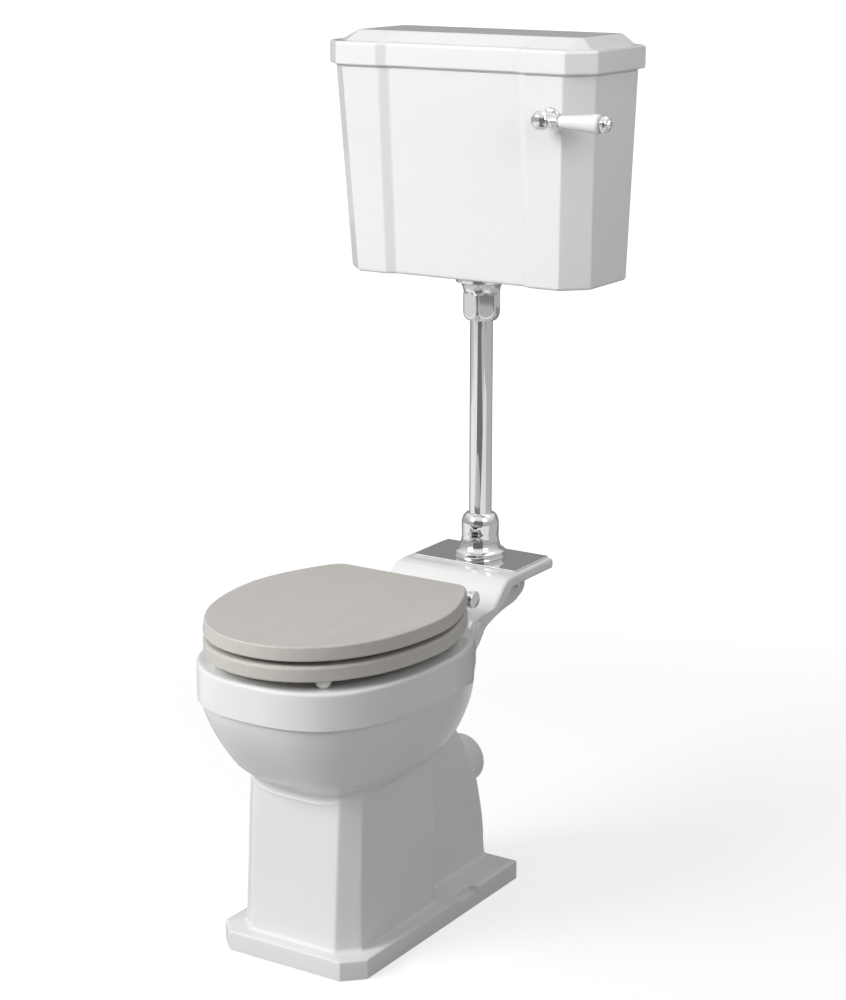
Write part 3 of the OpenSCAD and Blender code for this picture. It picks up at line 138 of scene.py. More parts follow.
def arcs(corner: Array, before: Array, after: Array, radius: Array, most: float, steps: int,
         margin: float = 0.0) -> tuple[Array, Array, Array]:
    """Arcs that round corners off.

    At each corner the two sides are cut back by radius times the tangent of half the turn, and a
    circular arc joins the cuts: the weighted mean of the cuts and the corner, whose weight is the
    cosine of half the turn.

    Args:
        corner: corners, shaped (..., 2).
        before: the way from each corner to the one before it.
        after: the way from each corner to the one after it.
        radius: a radius for each corner.
        most: the largest share of the shorter side that a cut may take.
        steps: number of segments in each arc.
        margin: distance from the cuts to one more point on each side.

    Returns:
        The points a margin before the arcs, the arcs shaped (..., steps + 1, 2), and the points
        a margin after them.
    """
    len_b, len_a = np.linalg.norm(before, axis=-1), np.linalg.norm(after, axis=-1)
    ub, ua = before / len_b[..., None], after / len_a[..., None]
    half = (np.pi - np.arccos(np.clip((ub * ua).sum(-1), -1, 1))) / 2
    back = np.minimum(radius * np.tan(half), most * np.minimum(len_a, len_b))[..., None]
    t = np.linspace(0, 1, steps + 1)[:, None]
    shares = ((1 - t) ** 2, 2 * t * (1 - t) * np.cos(half)[..., None, None], t ** 2)
    ends = (corner + ub * back, corner, corner + ua * back)
    arc = sum(s * p[..., None, :] for s, p in zip(shares, ends)) / sum(shares)
    return corner + ub * (back + margin), arc, corner + ua * (back + margin)


def both_sides(right: list[tuple[Array, Array]]) -> Array:
    """Outlines from the x and y of their right half's corners, mirrored: (rows, corners, 2)."""
    half = np.stack([np.stack(np.broadcast_arrays(x, y), 1) for x, y in right], axis=1)
    return np.concatenate([half[:, ::-1] * MIRROR, half], axis=1)


def rounded_corners(corners: Array, radius: float | list[float], steps: int = 6,
                    margin: float = 1.2) -> Array:
    """Rounds the corners of a stack of closed outlines.

    A point a margin past each end of an arc keeps the flat sides flat under smooth shading.

    Args:
        corners: outlines, shaped (rows, corners, 2), counter-clockwise.
        radius: one radius, or one for each corner.
        steps: number of segments in each arc.
        margin: distance of those points along the sides.

    Returns:
        Outlines shaped (rows, corners * (steps + 3), 2).
    """
    before, after = np.roll(corners, 1, 1) - corners, np.roll(corners, -1, 1) - corners
    radius = np.broadcast_to(np.asarray(radius, float), corners.shape[1:2])
    first, arc, last = arcs(corners, before, after, radius, 0.45, steps, margin)
    rows = np.concatenate([first[:, :, None], arc, last[:, :, None]], axis=2)
    return rows.reshape(len(corners), -1, 2)


def rounded_profile(corners: list[Triple], steps: int = 4) -> Array:
    """An open profile with rounded corners.

    Args:
        corners: (radius, height, rounding) of each corner; the two ends aren't rounded.
        steps: number of segments in each arc.

    Returns:
        (radius, height) pairs.
    """
    table = np.asarray(corners, float)
    p, sizes = table[:, :2], table[1:-1, 2]
    arc = arcs(p[1:-1], p[:-2] - p[1:-1], p[2:] - p[1:-1], sizes, 0.48, steps)[1]
    return np.concatenate([p[:1], arc.reshape(-1, 2), p[-1:]])


def with_height(outlines: Array, heights: Array) -> Array:
    """Adds one height to each outline: (rows, points, 2) becomes (rows, points, 3)."""
    z = np.broadcast_to(np.asarray(heights, float)[:, None, None], outlines.shape[:2] + (1,))
    return np.concatenate([outlines, z], axis=2)


def lathe(profile: Array, columns: int = 96, sides: int = 0, flat: float = 0.0,
          first: float = 0.0) -> Array:
    """A profile carried round the Z axis.

    The radius at a height is the profile's. Where sides is given, it is cut by a prism of that
    many sides: the smaller of the profile's radius and flat over the cosine of the angle from the
    nearest flat's middle.

    Args:
        profile: (radius, height) pairs.
        columns: points round the axis.
        sides: number of flats, or 0 for none.
        flat: distance of the flats from the axis.
        first: angle in degrees of the middle of one flat.

    Returns:
        A grid of points.
    """
    turn = np.linspace(0, 2 * np.pi, columns, endpoint=False)
    radius = np.repeat(profile[:, :1], columns, axis=1)
    if sides:
        step = 2 * np.pi / sides
        local = np.mod(turn + step / 2, step) - step / 2
        radius = rounder(radius, flat / np.cos(local)[None, :], 0.9)
    return around(radius, turn + math.radians(first), profile[:, 1:])


# Finishes


class Nodes:
    """A short way to write a tree of shader nodes."""

    def __init__(self, tree: Tree) -> None:
        """Works on one node tree."""
        self.tree = tree

    @classmethod
    def fresh(cls, owner: Material | bpy.types.World) -> "Nodes":
        """The emptied tree of a material or a world."""
        owner.use_nodes = True
        owner.node_tree.nodes.clear()
        return cls(owner.node_tree)

    def add(self, kind: str, inputs: dict | None = None,
            **settings: object) -> bpy.types.bpy_prop_collection:
        """Adds a node.

        Args:
            kind: the node's class name.
            inputs: a value, or a socket to link from, for each named or numbered input.
            settings: attributes of the node, which are set first.

        Returns:
            The node's outputs.
        """
        node = self.tree.nodes.new(kind)
        for key, value in settings.items():
            setattr(node, key, value)
        for key, value in (inputs or {}).items():
            if isinstance(value, Socket):
                self.tree.links.new(value, node.inputs[key])
            else:
                node.inputs[key].default_value = value
        return node.outputs

    def math(self, operation: str, *values: object) -> Socket:
        """A calculation on values or sockets."""
        return self.add("ShaderNodeMath", dict(enumerate(values)), operation=operation)[0]

    def noise(self, place: object, scale: object, detail: float, rough: float = 0.5) -> Socket:
        """Noise at a place."""
        return self.add("ShaderNodeTexNoise", {"Vector": place, "Scale": scale, "Detail": detail,
                                               "Roughness": rough})["Fac"]

    def span(self, value: object, low: float, high: float, to_low: float = 0.0,
             to_high: float = 1.0, shape: str = "LINEAR") -> Socket:
        """A value's way from low to high, carried over to another span and clamped."""
        return self.add("ShaderNodeMapRange", {
            "Value": value, "From Min": low, "From Max": high, "To Min": to_low,
            "To Max": to_high}, interpolation_type=shape)["Result"]

    def choose(self, share: object, first: object, second: object) -> Socket:
        """The number a share of the way from the first to the second."""
        return self.add("ShaderNodeMix", {0: share, 2: first, 3: second})[0]


class Effect(Enum):
    """An effect that finishes share; each value names the two inputs of its group."""

    MOTTLE = ("Scale", "Fine")
    GRAIN = ("Lines", "Stretch")


class SurfaceGroups:
    """The shared effects, each a node group that is built once."""

    _made: dict[Effect, Tree] = {}

    @classmethod
    def get(cls, effect: Effect) -> Tree:
        """The group of an effect."""
        if effect not in cls._made:
            cls._made[effect] = cls._mottle() if effect is Effect.MOTTLE else cls._grain()
        return cls._made[effect]

    @staticmethod
    def _start(name: str, effect: Effect, *values: float) -> tuple:
        """Begins a group: its nodes, its given values and its Object coordinates."""
        tree = bpy.data.node_groups.new(name, "ShaderNodeTree")
        kind = "NodeSocketFloat"
        for key, value in zip(effect.value, values):
            tree.interface.new_socket(key, in_out="INPUT", socket_type=kind).default_value = value
        for key in ("Mask", "Height"):
            tree.interface.new_socket(key, in_out="OUTPUT", socket_type=kind)
        n = Nodes(tree)
        return n, n.add("NodeGroupInput"), n.add("ShaderNodeTexCoord")["Object"]

    @classmethod
    def _mottle(cls) -> Tree:
        """Slow and fine noise on Object coordinates: a mask about 0.5 and a height for a bump."""
        n, given, place = cls._start("mottle", Effect.MOTTLE, 8.0, 300.0)
        slow, fine = n.noise(place, given["Scale"], 3.0), n.noise(place, given["Fine"], 2.0)
        n.add("NodeGroupOutput", {"Mask": slow, "Height": n.math("MULTIPLY_ADD", fine, 0.25, slow)})
        return n.tree

    @classmethod
    def _grain(cls) -> Tree:
        """Wood grain under paint: noise drawn out along Y, as a mask of lines and a height."""
        n, given, place = cls._start("grain", Effect.GRAIN, 90.0, 0.035)
        split = n.add("ShaderNodeSeparateXYZ", {0: place})
        sway = n.math("MULTIPLY_ADD", n.noise(place, 3.0, 1.0), 0.03, split["X"])
        along = n.math("MULTIPLY", split["Y"], given["Stretch"])
        drawn = n.add("ShaderNodeCombineXYZ", {0: sway, 1: along, 2: split["Z"]})["Vector"]
        lines = n.noise(drawn, given["Lines"], 5.0, 0.62)
        n.add("NodeGroupOutput", {"Mask": n.span(lines, 0.36, 0.64), "Height": lines})
        return n.tree


@dataclass(frozen=True)
class Finish:
    """A surface finish: a Principled shader whose colour, roughness and bump follow an effect.

    Colour runs from low to high over the effect's mask, and so does roughness over its pair. The
    bump is given in metres of height; scale and fine are the effect's two inputs.
    """

    name: str
    slot: str
    low: Triple
    high: Triple
    rough: Pair = (0.1, 0.14)
    metallic: float = 0.0
    ior: float = 1.5
    bump: float = 0.0
    effect: Effect = Effect.MOTTLE
    scale: float = 8.0
    fine: float = 300.0

    def material(self) -> Material:
        """The finish as a material, made once.

        Returns:
            The material.
        """
        found = bpy.data.materials.get(self.name)
        if found:
            return found
        made = bpy.data.materials.new(self.name)
        n = Nodes.fresh(made)
        made.diffuse_color = (*self.high, 1.0)
        effect = n.add("ShaderNodeGroup", dict(zip(self.effect.value, (self.scale, self.fine))),
                       node_tree=SurfaceGroups.get(self.effect))
        colour = n.add("ShaderNodeMix", {0: effect["Mask"], 6: (*self.low, 1.0),
                                         7: (*self.high, 1.0)}, data_type="RGBA")[2]
        look = {"Base Color": colour, "Roughness": n.span(effect["Mask"], 0.0, 1.0, *self.rough),
                "Metallic": self.metallic, "IOR": self.ior}
        if self.bump:
            look["Normal"] = n.add("ShaderNodeBump", {
                "Height": effect["Height"], "Distance": self.bump, "Strength": 1.0})["Normal"]
        shader = n.add("ShaderNodeBsdfPrincipled", look)
        n.add("ShaderNodeOutputMaterial", {"Surface": shader["BSDF"]})
        return made


GLAZE = Finish("white_glaze", "glazed china", (0.80, 0.80, 0.80), (0.84, 0.84, 0.838),
               (0.045, 0.075), ior=1.52, bump=0.00004, scale=5.0, fine=40.0)
CHROME = Finish("polished_chrome", "chrome on brass", (0.86, 0.865, 0.87), (0.90, 0.905, 0.91),
                (0.02, 0.04), metallic=1.0, scale=14.0)
PAINTED_WOOD = Finish("stone_painted_wood", "stone grey paint on wood", (0.553, 0.531, 0.496),
                      (0.590, 0.568, 0.530), (0.36, 0.46), ior=1.45, bump=0.0003,
                      effect=Effect.GRAIN, scale=95.0, fine=0.035)
STEEL = Finish("stainless_steel", "stainless steel", (0.55, 0.55, 0.55), (0.66, 0.66, 0.655),
               (0.2, 0.34), metallic=1.0, scale=50.0)
BRASS = Finish("turned_brass", "plain brass", (0.62, 0.45, 0.19), (0.74, 0.56, 0.27),
               (0.18, 0.32), metallic=1.0, scale=60.0)
RUBBER = Finish("black_rubber", "black rubber", (0.022, 0.022, 0.024), (0.04, 0.04, 0.042),
                (0.55, 0.7), bump=0.0001, scale=80.0)
WHITE_PLASTIC = Finish("white_plastic", "white plastic", (0.76, 0.76, 0.75), (0.82, 0.82, 0.81),
                       (0.25, 0.38), ior=1.47, scale=30.0)
BLUE_PLASTIC = Finish("blue_plastic", "blue plastic", (0.10, 0.17, 0.30), (0.13, 0.21, 0.36),
                      (0.3, 0.42), ior=1.47, scale=30.0)


# Meshes


def add_object(name: str, data: bpy.types.ID) -> bpy.types.Object:
    """A new object at the origin of the scene."""
    obj = bpy.data.objects.new(name, data)
    bpy.context.scene.collection.objects.link(obj)
    return obj


class Ends(Enum):
    """How the first and last rows of a grid are closed."""

    FLAT = "each by a flat face"
    LOOP = "by joining them, as on a ring"


class Shell:
    """Collects grids of points, in millimetres, into one mesh, with one turn and shift for all."""

    def __init__(self, name: str, turn: Array | None = None, shift: Triple = (0, 0, 0)) -> None:
        """Starts an empty mesh; turn is a 3 by 3 matrix and shift a vector in millimetres."""
        self.name = name
        self.turn = np.eye(3) if turn is None else turn
        self.shift = np.asarray(shift, float)
        self.points: list[Array] = []
        self.faces: list[list[int]] = []
        self.count = 0

    def grid(self, points: Array, ends: Ends = Ends.FLAT, flip: bool = False) -> "Shell":
        """Adds a grid whose rows are closed outlines.

        Args:
            points: shaped (rows, columns, 3).
            ends: how its first and last rows are closed.
            flip: True turns the faces' other side out.

        Returns:
            The shell itself.
        """
        m, n = points.shape[:2]
        index = self.count + np.arange(m * n).reshape(m, n)
        loop = ends is Ends.LOOP
        below, above = (index, np.roll(index, -1, 0)) if loop else (index[:-1], index[1:])
        quads = np.stack([below, np.roll(below, -1, 1), np.roll(above, -1, 1), above], axis=2)
        faces = quads.reshape(-1, 4).tolist()
        if not loop:
            faces += [index[0][::-1].tolist(), index[-1].tolist()]
        self.faces += [f[::-1] for f in faces] if flip else faces
        self.points.append(points.reshape(-1, 3) @ self.turn.T + self.shift)
        self.count += m * n
        return self

    def build(self, body: str, finish: Finish, *nodes: str, sharp: float = 40.0) -> None:
        """Makes the object, smooth but for sharp edges, and rides it on a body.

        Args:
            body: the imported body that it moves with.
            finish: its finish, with the record's material slot.
            nodes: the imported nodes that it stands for.
            sharp: angle in degrees from which an edge stays crisp.
        """
        mesh = bpy.data.meshes.new(self.name)
        mesh.from_pydata((np.concatenate(self.points) / 1000.0).tolist(), [], self.faces)
        mesh.validate()
        mesh.shade_smooth()
        mesh.set_sharp_from_angle(angle=math.radians(sharp))
        mesh.materials.append(finish.material())
        obj = add_object(self.name, mesh)
        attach(obj, body)
        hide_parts(*nodes)
        LOG.info("%s: %d faces on %s", self.name, len(mesh.polygons), body)


# Pan


@dataclass
class Pan:
    """The ceramic pan: plinth, pedestal, housing, bowl and rim as one surface, neck and spigot.

    Its outside is given as distances from the bowl's upright axis, at y = centre_y. planes holds
    the pedestal's front, side, chamfer and back: each distance at the foot, and what it loses by
    the top. vanish is the slope at which a form shrinks away past its own end. edges rounds the
    upright edges of the pedestal's front, its back and the housing; flares widen the feet of both;
    fillets join the pedestal to the housing, the bowl to both, and the corbel to all. shrink is
    what the bowl's side, front and back lose from the crease to its foot, as depth to the power
    taper, and pairs of exponents hold from the crease to the foot. lip_round holds the rim's
    rounding, and under the neck.
    """

    centre_y: float = -60.0
    rim_half: float = 186.5
    rim_front: float = 318.0
    rim_back: float = 221.0
    rim_h: float = 480.0
    crease_z: float = 420.0
    rim_step: float = 5.0
    foot_z: float = 262.0
    shrink: Triple = (75.5, 109.5, 106.0)
    taper: float = 1.4
    front_n: Pair = (2.64, 3.8)
    back_n: Pair = (1.65, 2.8)
    inside: Triple = (168.5, 240.0, 132.0)
    mouth: Triple = (135.5, 207.0, 124.0)
    lip_round: Pair = (6.0, 0.6)
    mouth_round: float = 5.0
    throat_z: float = 453.0
    throat_round: float = 4.0
    plinth_h: float = 32.0
    plinth_half_w: float = 136.0
    plinth_half_l: float = 241.5
    plinth_chamfer: float = 31.0
    plinth_round: float = 3.0
    pedestal_h: float = 266.0
    planes: tuple[Pair, ...] = ((158.5, 15.0), (110.0, 4.0), (168.6, 10.6), (87.0, 0.0))
    pedestal_end: float = 300.0
    pedestal_slope: Pair = (1.15, 0.8)
    housing_half: Pair = (77.0, 4.0)
    housing_end: float = 318.0
    corbel_edge: float = 20.0
    corbel_end: float = 395.0
    vanish: float = 3.0
    edges: Triple = (2.4, 14.0, 9.0)
    flares: Pair = (4.5, 4.0)
    fillets: Triple = (8.0, 20.0, 34.0)
    neck_fillet: float = 12.0
    waist_in: float = 13.5
    shelf_h: float = 520.0
    shelf_half: float = 110.0
    shelf_under: float = 503.0
    ramp: Pair = (195.0, 262.0)
    pocket: Triple = (61.0, 115.0, 18.0)
    pocket_low: float = 22.0
    screw_x: float = 126.0
    screw_r: float = 3.5
    spigot_z: float = 175.0
    spigot_r: Pair = (43.0, 34.0)

    # Height above the plinth; how far the housing's back is drawn in.
    HOUSING = np.array([[-1, 5], [5, 6], [63, 12.5], [111, 22.5], [155, 35.5], [203, 63],
                        [250, 94], [298, 125]], float)
    # Height; half-width and back of the corbel.
    CORBEL = np.array([[370, 66, 172], [395, 79, 177], [410, 88, 183], [428, 96, 186],
                       [443, 103, 186], [456, 108, 190], [463, 109.6, 200], [480, 109.8, 214]])
    # Height; half-width, front, widest line and back of the sump.
    SUMP = np.array([[248, 68, -154, -44, 54], [222, 59, -126, -34, 36], [190, 54, -106, -30, 24],
                     [150, 48, -82, -25, 18], [118, 44, -70, -22, 16], [82, 42, -66, -20, 14],
                     [60, 36, -58, -20, 10], [52, 20, -38, -20, -2], [50, 4, -24, -20, -16]], float)

    def __post_init__(self) -> None:
        """Works out the line in which the bowl cuts the pedestal's planes."""
        angle = np.linspace(0.0, 2 * np.pi, 721)
        self.edge_line = (angle, self.cut_height(angle))

    def depth(self, z: Array) -> Array:
        """Depth below the crease: 0 at it and 1 at the pedestal's top."""
        return np.maximum(0.0, self.crease_z - z) / (self.crease_z - self.foot_z)

    def up_pedestal(self, z: Array) -> Array:
        """Height up the pedestal: 0 on the plinth and 1 at its top edge."""
        return (z - self.plinth_h) / (self.pedestal_h - self.plinth_h)

    def foot_flare(self, z: Array, size: float) -> Array:
        """A small flare over the lowest 6 mm above the plinth."""
        return size * np.clip(1.0 - (z - self.plinth_h) / 6.0, 0.0, 1.0) ** 2.2

    def bowl_radius(self, angle: Array, z: Array, inset: Array) -> Array:
        """Distance from the bowl's axis to its outside.

        The outline is a superellipse whose half-widths shrink below the crease as a power of
        depth. Its exponent passes smoothly from the front's to the back's over the sides.

        Args:
            angle: angles round the axis.
            z: heights.
            inset: distances by which the outline is drawn in.

        Returns:
            The radius for each angle and height.
        """
        s = self.depth(z)
        rim = (self.rim_half, self.rim_front + self.centre_y, self.rim_back - self.centre_y)
        half = (np.maximum(size - inset - loss * s ** self.taper, 5.0)
                for size, loss in zip(rim, self.shrink))
        n_front = mix(*self.front_n, np.minimum(1.0, s ** 1.7))
        n_back = mix(*self.back_n, np.minimum(1.2, s))
        n = mix(n_front, n_back, ease(np.sin(angle), -0.45, 0.75))
        return oval(angle, *half, n) - self.vanish * np.maximum(0.0, self.foot_z - z)

    def waist(self, z: Array) -> Array:
        """How far the bowl is drawn in above the pedestal's top edge."""
        return self.waist_in * (1.0 - ease(z, self.pedestal_h + 2.0, self.pedestal_h + 46.0))

    def pedestal_planes(self, angle: Array, z: Array) -> Array:
        """Distance from the axis to the nearest of the pedestal's planes, with rounded edges."""
        t = np.clip(self.up_pedestal(z), 0, 1.1)
        past = np.maximum(0.0, z - self.pedestal_end)
        grow = self.foot_flare(z, self.flares[0]) - self.vanish * past
        c, s = np.abs(np.cos(angle)), np.sin(angle)
        front, side, corner, back = (
            plane_radius(foot - loss * t + grow, toward)
            for (foot, loss), toward in zip(self.planes, (-s, c, (c - s) / math.sqrt(2), s)))
        edge, back_edge, _ = self.edges
        return rounder(rounder(rounder(front, corner, edge), side, edge), back, back_edge)

    def pedestal_radius(self, angle: Array, z: Array) -> Array:
        """Distance to the pedestal: its planes up to their sagging edge, and a slope inside it."""
        over = np.maximum(0.0, z - np.interp(angle % (2 * np.pi), *self.edge_line))
        slope, soft = self.pedestal_slope
        return self.pedestal_planes(angle, z) - slope * over ** 2 / (over + soft)

    @staticmethod
    def rear_only(angle: Array, radius: Array) -> Array:
        """A radius behind the axis, and nothing before it."""
        return np.where(np.sin(angle) > 0.02, radius, 0.0)

    def housing_radius(self, angle: Array, z: Array) -> Array:
        """Distance to the trap housing: the nearer of its side and its sloping back, rounded."""
        up = z - self.plinth_h
        drawn, = smooth_curve(up, self.HOUSING)
        width, loss = self.housing_half
        flare = self.foot_flare(z, self.flares[1])
        c, s = np.abs(np.cos(angle)), np.sin(angle)
        side = plane_radius(width - loss * np.clip(up / self.HOUSING[-1, 0], 0, 1) + flare, c)
        back = plane_radius(self.plinth_half_l - drawn - self.centre_y + flare * 0.6, s)
        both = self.rear_only(angle, rounder(side, back, self.edges[2]))
        return both - self.vanish * np.maximum(0.0, z - self.housing_end)

    def corbel_radius(self, angle: Array, z: Array) -> Array:
        """Distance to the corbel, the swelling that carries the bowl's back up into the neck."""
        half, back = smooth_curve(z, self.CORBEL)
        c, s = np.abs(np.cos(angle)), np.sin(angle)
        both = rounder(plane_radius(half, c), plane_radius(back - self.centre_y, s),
                       self.corbel_edge)
        return self.rear_only(angle, both) - 0.9 * np.maximum(0.0, self.corbel_end - z)

    def outer_radius(self, angle: Array, z: Array, inset: Array) -> Array:
        """The outside: bowl, pedestal, housing and corbel, with fillets between them."""
        low, middle, high = self.fillets
        block = filleted(self.pedestal_radius(angle, z), self.housing_radius(angle, z), low)
        under = filleted(self.bowl_radius(angle, z, inset) - self.waist(z), block, middle)
        return filleted(under, self.corbel_radius(angle, z), high)

    def cut_height(self, angle: Array) -> Array:
        """Height at which the bowl cuts the pedestal's planes, at each angle; level at the back.

        It is found on a ladder of heights: the lowest rung at which the bowl stands out.
        """
        rungs = np.linspace(258.0, 290.0, 161)
        a, z = np.broadcast_arrays(angle[None, :], rungs[:, None])
        out = self.bowl_radius(a, z, self.rim_step) >= self.pedestal_planes(a, z)
        found = np.where(out.any(axis=0), rungs[np.argmax(out, axis=0)], rungs[-1])
        return mix(found, 268.0, ease(np.sin(angle), 0.0, 0.35))

    def columns(self, z: Array) -> Array:
        """Angles of the grid's columns at each height.

        They crowd at the upright edges of the pedestal and the housing, and follow them as these
        lean: between two edges the places are spaced as a cosine.

        Args:
            z: heights, one for each row.

        Returns:
            Angles shaped (rows, columns).
        """
        t = np.clip(self.up_pedestal(z), 0, 1)
        front, side = (foot - loss * t for foot, loss in self.planes[:2])
        house = self.housing_half[0] - self.housing_half[1] * t
        back, end = self.planes[3][0], self.plinth_half_l + 48.0 - 60.0 * t
        corners = ((0, -1), (80.0, -front), (side, 30 - 4 * t - front), (1, 0), (side, back),
                   (house, back), (house, end), (0, 1))
        edges = np.stack([np.degrees(np.arctan2(y, x)) + 0 * t for x, y in corners], axis=1)
        share = np.concatenate([i + 0.5 - 0.5 * np.cos(np.pi * np.arange(count) / count)
                                for i, count in enumerate((14, 12, 22, 18, 12, 26, 12))])
        low = np.floor(share).astype(int)
        right = edges[:, low] + (edges[:, low + 1] - edges[:, low]) * (share - low)
        middle = np.full((len(z), 1), 90.0)
        return np.radians(np.concatenate([right, middle, 180.0 - right[:, :0:-1]], axis=1))

    def outer_rows(self) -> tuple[Array, Array]:
        """Heights and insets of the rows up the outside."""
        z = np.concatenate([
            [31.0], self.plinth_h + np.array([0, 0.6, 1.5, 2.7, 4.2, 6.2, 9, 12]),
            np.linspace(50, 236, 14), np.linspace(242, 260, 6),
            266 + np.array([-4, -2.6, -1.6, -0.9, -0.4, 0, 0.4, 0.9, 1.6, 2.6, 4]),
            np.linspace(272, 300, 15), np.linspace(304, 412, 26),
            [415, 417, 418.2, 419, 419.6, 420.0, 420.4, 420.9, 421.6, 422.6, 424, 427],
            np.linspace(431, 470, 11), [473.5]])
        return z, self.rim_step * (1.0 - ease(z, 419.0, 421.8))

    def body_points(self) -> Array:
        """The grid from the plinth's top up the outside, over the rim and down to the sump."""
        z, inset = self.outer_rows()
        top = self.columns(np.array([self.pedestal_h]))[0]
        near = np.interp(z, [236.0, self.pedestal_h, 304.0], [0.0, 1.0, 0.0])
        height = z[:, None] + near[:, None] * (self.cut_height(top) - self.pedestal_h)
        angle = self.columns(z)
        outside = self.outer_radius(angle, height, inset[:, None])
        rim = self.outer_radius(top, np.full_like(top, self.rim_h), 0.0)
        sine = np.sin(top)
        rings: list[Array] = []

        def ring(radius: Array, at: float | Array, centre: float = self.centre_y) -> None:
            """Adds an outline."""
            rings.append(around(radius, top, at, centre))

        def inner(side: float, front: float, back: float, n: float) -> Array:
            """An oval of the inside, of power n at its front and 2.4 at its back."""
            return oval(top, side, front, back, mix(n, 2.4, ease(sine, -0.4, 0.6)))

        under_neck = (ease(top, math.radians(50), math.radians(62))
                      * (1 - ease(top, math.radians(118), math.radians(130))))
        size = mix(*self.lip_round, under_neck)
        mouth = inner(*self.mouth, 2.2)
        for fall, rise in list(zip(*quarter(9)))[1:]:
            ring(rim - size * rise, self.rim_h - size * fall)
        for share in (0.08, 0.3, 0.6, 0.85):
            ring(mix(rim - size, mouth + self.mouth_round + 1.0, share), self.rim_h)
        for fall, rise in zip(*quarter(7)):
            ring(mouth + self.mouth_round * fall, self.rim_h - self.mouth_round * rise)
        ring(mouth, self.throat_z + 2.0)
        for fall, rise in zip(*quarter(5)):
            ring(mouth + self.throat_round * rise, self.throat_z - self.throat_round * (1 - fall))
        side, front, back = self.inside
        for at in (446.0, *np.linspace(440, 272, 15)):
            d = self.depth(at) ** self.taper
            ring(inner(side - self.shrink[0] * d, front - self.shrink[1] * d, back, 2.64), at)
        for at, side, front, middle, back in self.SUMP:
            ring(oval(top, side, middle - front, back - middle, 2.1), at, middle)
        return np.concatenate([around(outside, angle, height, self.centre_y), np.stack(rings)])

    def neck_points(self) -> Array:
        """The neck and shelf: rounded sections from inside the rim back to the shelf's edge.

        A section has a flat top, upright sides, a slanting flank and a keel, all given as curves
        of the distance back.

        Returns:
            A grid of sections.
        """
        start, end = self.ramp
        flat, shelf, low = self.rim_h - 0.02, self.shelf_h, self.shelf_under
        # Distance back; top, side's foot, shoulder's half-width and height, keel's.
        given = np.array([
            [120, flat - 12, 450, 98, 436, 68, 392], [150, flat, 452, 98, 440, 66, 396],
            [176, flat, 456.5, 98, 445, 64, 400], [start, flat, 461.5, 96, 449, 63, 404],
            [start + 12, mix(flat, shelf, 0.12), 465, 93, 453, 62, 408],
            [start + 24, mix(flat, shelf, 0.38), 470, 89, 458, 62, 412],
            [start + 38, mix(flat, shelf, 0.74), 477, 84, 464, 62, 417],
            [start + 52, mix(flat, shelf, 0.95), 488, 79, 474, 62, 421],
            [end, shelf, low - 1, 75, 486, 62, 426], [end + 20, shelf, low, 68, low - 3, 62, 433],
            [319, shelf, low, 66, low - 0.5, 63, 442], [353, shelf, low, 66, low - 0.5, 63, 446],
            [383, shelf, low, 64, low - 0.5, 62, 458], [390, shelf, low, 60, low - 0.5, 58, 468],
            [394, shelf, low, 54, low - 0.8, 52, 480], [398, shelf, low, 44, low - 1.0, 42, 494],
        ], float)
        y = np.concatenate([np.linspace(122, 190, 15), np.linspace(192, 266, 38),
                            np.linspace(270, 386, 30), np.linspace(387.5, 397.4, 8)])
        got = np.stack([np.interp(y, given[:, 0], column) for column in given.T[1:]], axis=1)
        padded = np.pad(got, ((2, 2), (0, 0)), mode="edge")
        kernel = np.array([1, 2, 3, 2, 1]) / 9.0
        soft = np.stack([np.convolve(column, kernel, "valid") for column in padded.T], axis=1)
        got = np.where((y > 385)[:, None], got, soft)
        top, edge, shoulder_w, shoulder_z, keel_w, keel_z = got.T
        tip = np.maximum(0.0, y - 393.0) ** 2
        h = self.shelf_half - tip * 0.12
        drop = 6 * np.minimum(1, np.maximum(shoulder_z - keel_z, 0) / 20)
        corners = both_sides([
            (keel_w * 0.6, keel_z - drop), (keel_w, keel_z), (shoulder_w, shoulder_z),
            (h - 1, edge), (h, edge + 4), (h, top - tip * 0.1)])
        rounds = [12, 9, 10, 6, 5, 7]
        ring = rounded_corners(np.roll(corners, -5, 1), np.roll(rounds + rounds[::-1], 1),
                               margin=1.0)
        return self._swell(np.insert(ring, 1, y[:, None], axis=2), self.neck_fillet)

    def _swell(self, pts: Array, size: float) -> Array:
        """Pushes points near the bowl outwards along their own normals, as a fillet's arc does.

        Args:
            pts: a grid of points.
            size: radius of the arc; a point is pushed by radius less the root of radius squared
                less (radius less distance) squared.

        Returns:
            The grid, swollen but for its flat top.
        """
        across, along = np.roll(pts, -1, 1) - np.roll(pts, 1, 1), np.gradient(pts, axis=0)
        normal = np.cross(along, across)
        normal /= np.maximum(np.linalg.norm(normal, axis=2, keepdims=True), 1e-9)
        normal *= np.sign((normal * (pts - pts.mean(axis=1, keepdims=True))).sum(axis=2).mean())
        x, y, z = pts[..., 0], pts[..., 1] - self.centre_y, pts[..., 2]
        bowl = self.bowl_radius(np.arctan2(y, x), np.clip(z, 270, self.rim_h), 0.0)
        gap = np.clip(np.hypot(x, y) - bowl, 0.0, size)
        push = size - np.sqrt(np.maximum(size ** 2 - (size - gap) ** 2, 0.0))
        push = np.where(z < self.rim_h - 0.5, push, 0.0) * (1.0 - ease(normal[..., 2], 0.3, 0.8))
        normal[..., 1] = 0.0
        return pts + normal * push[..., None]

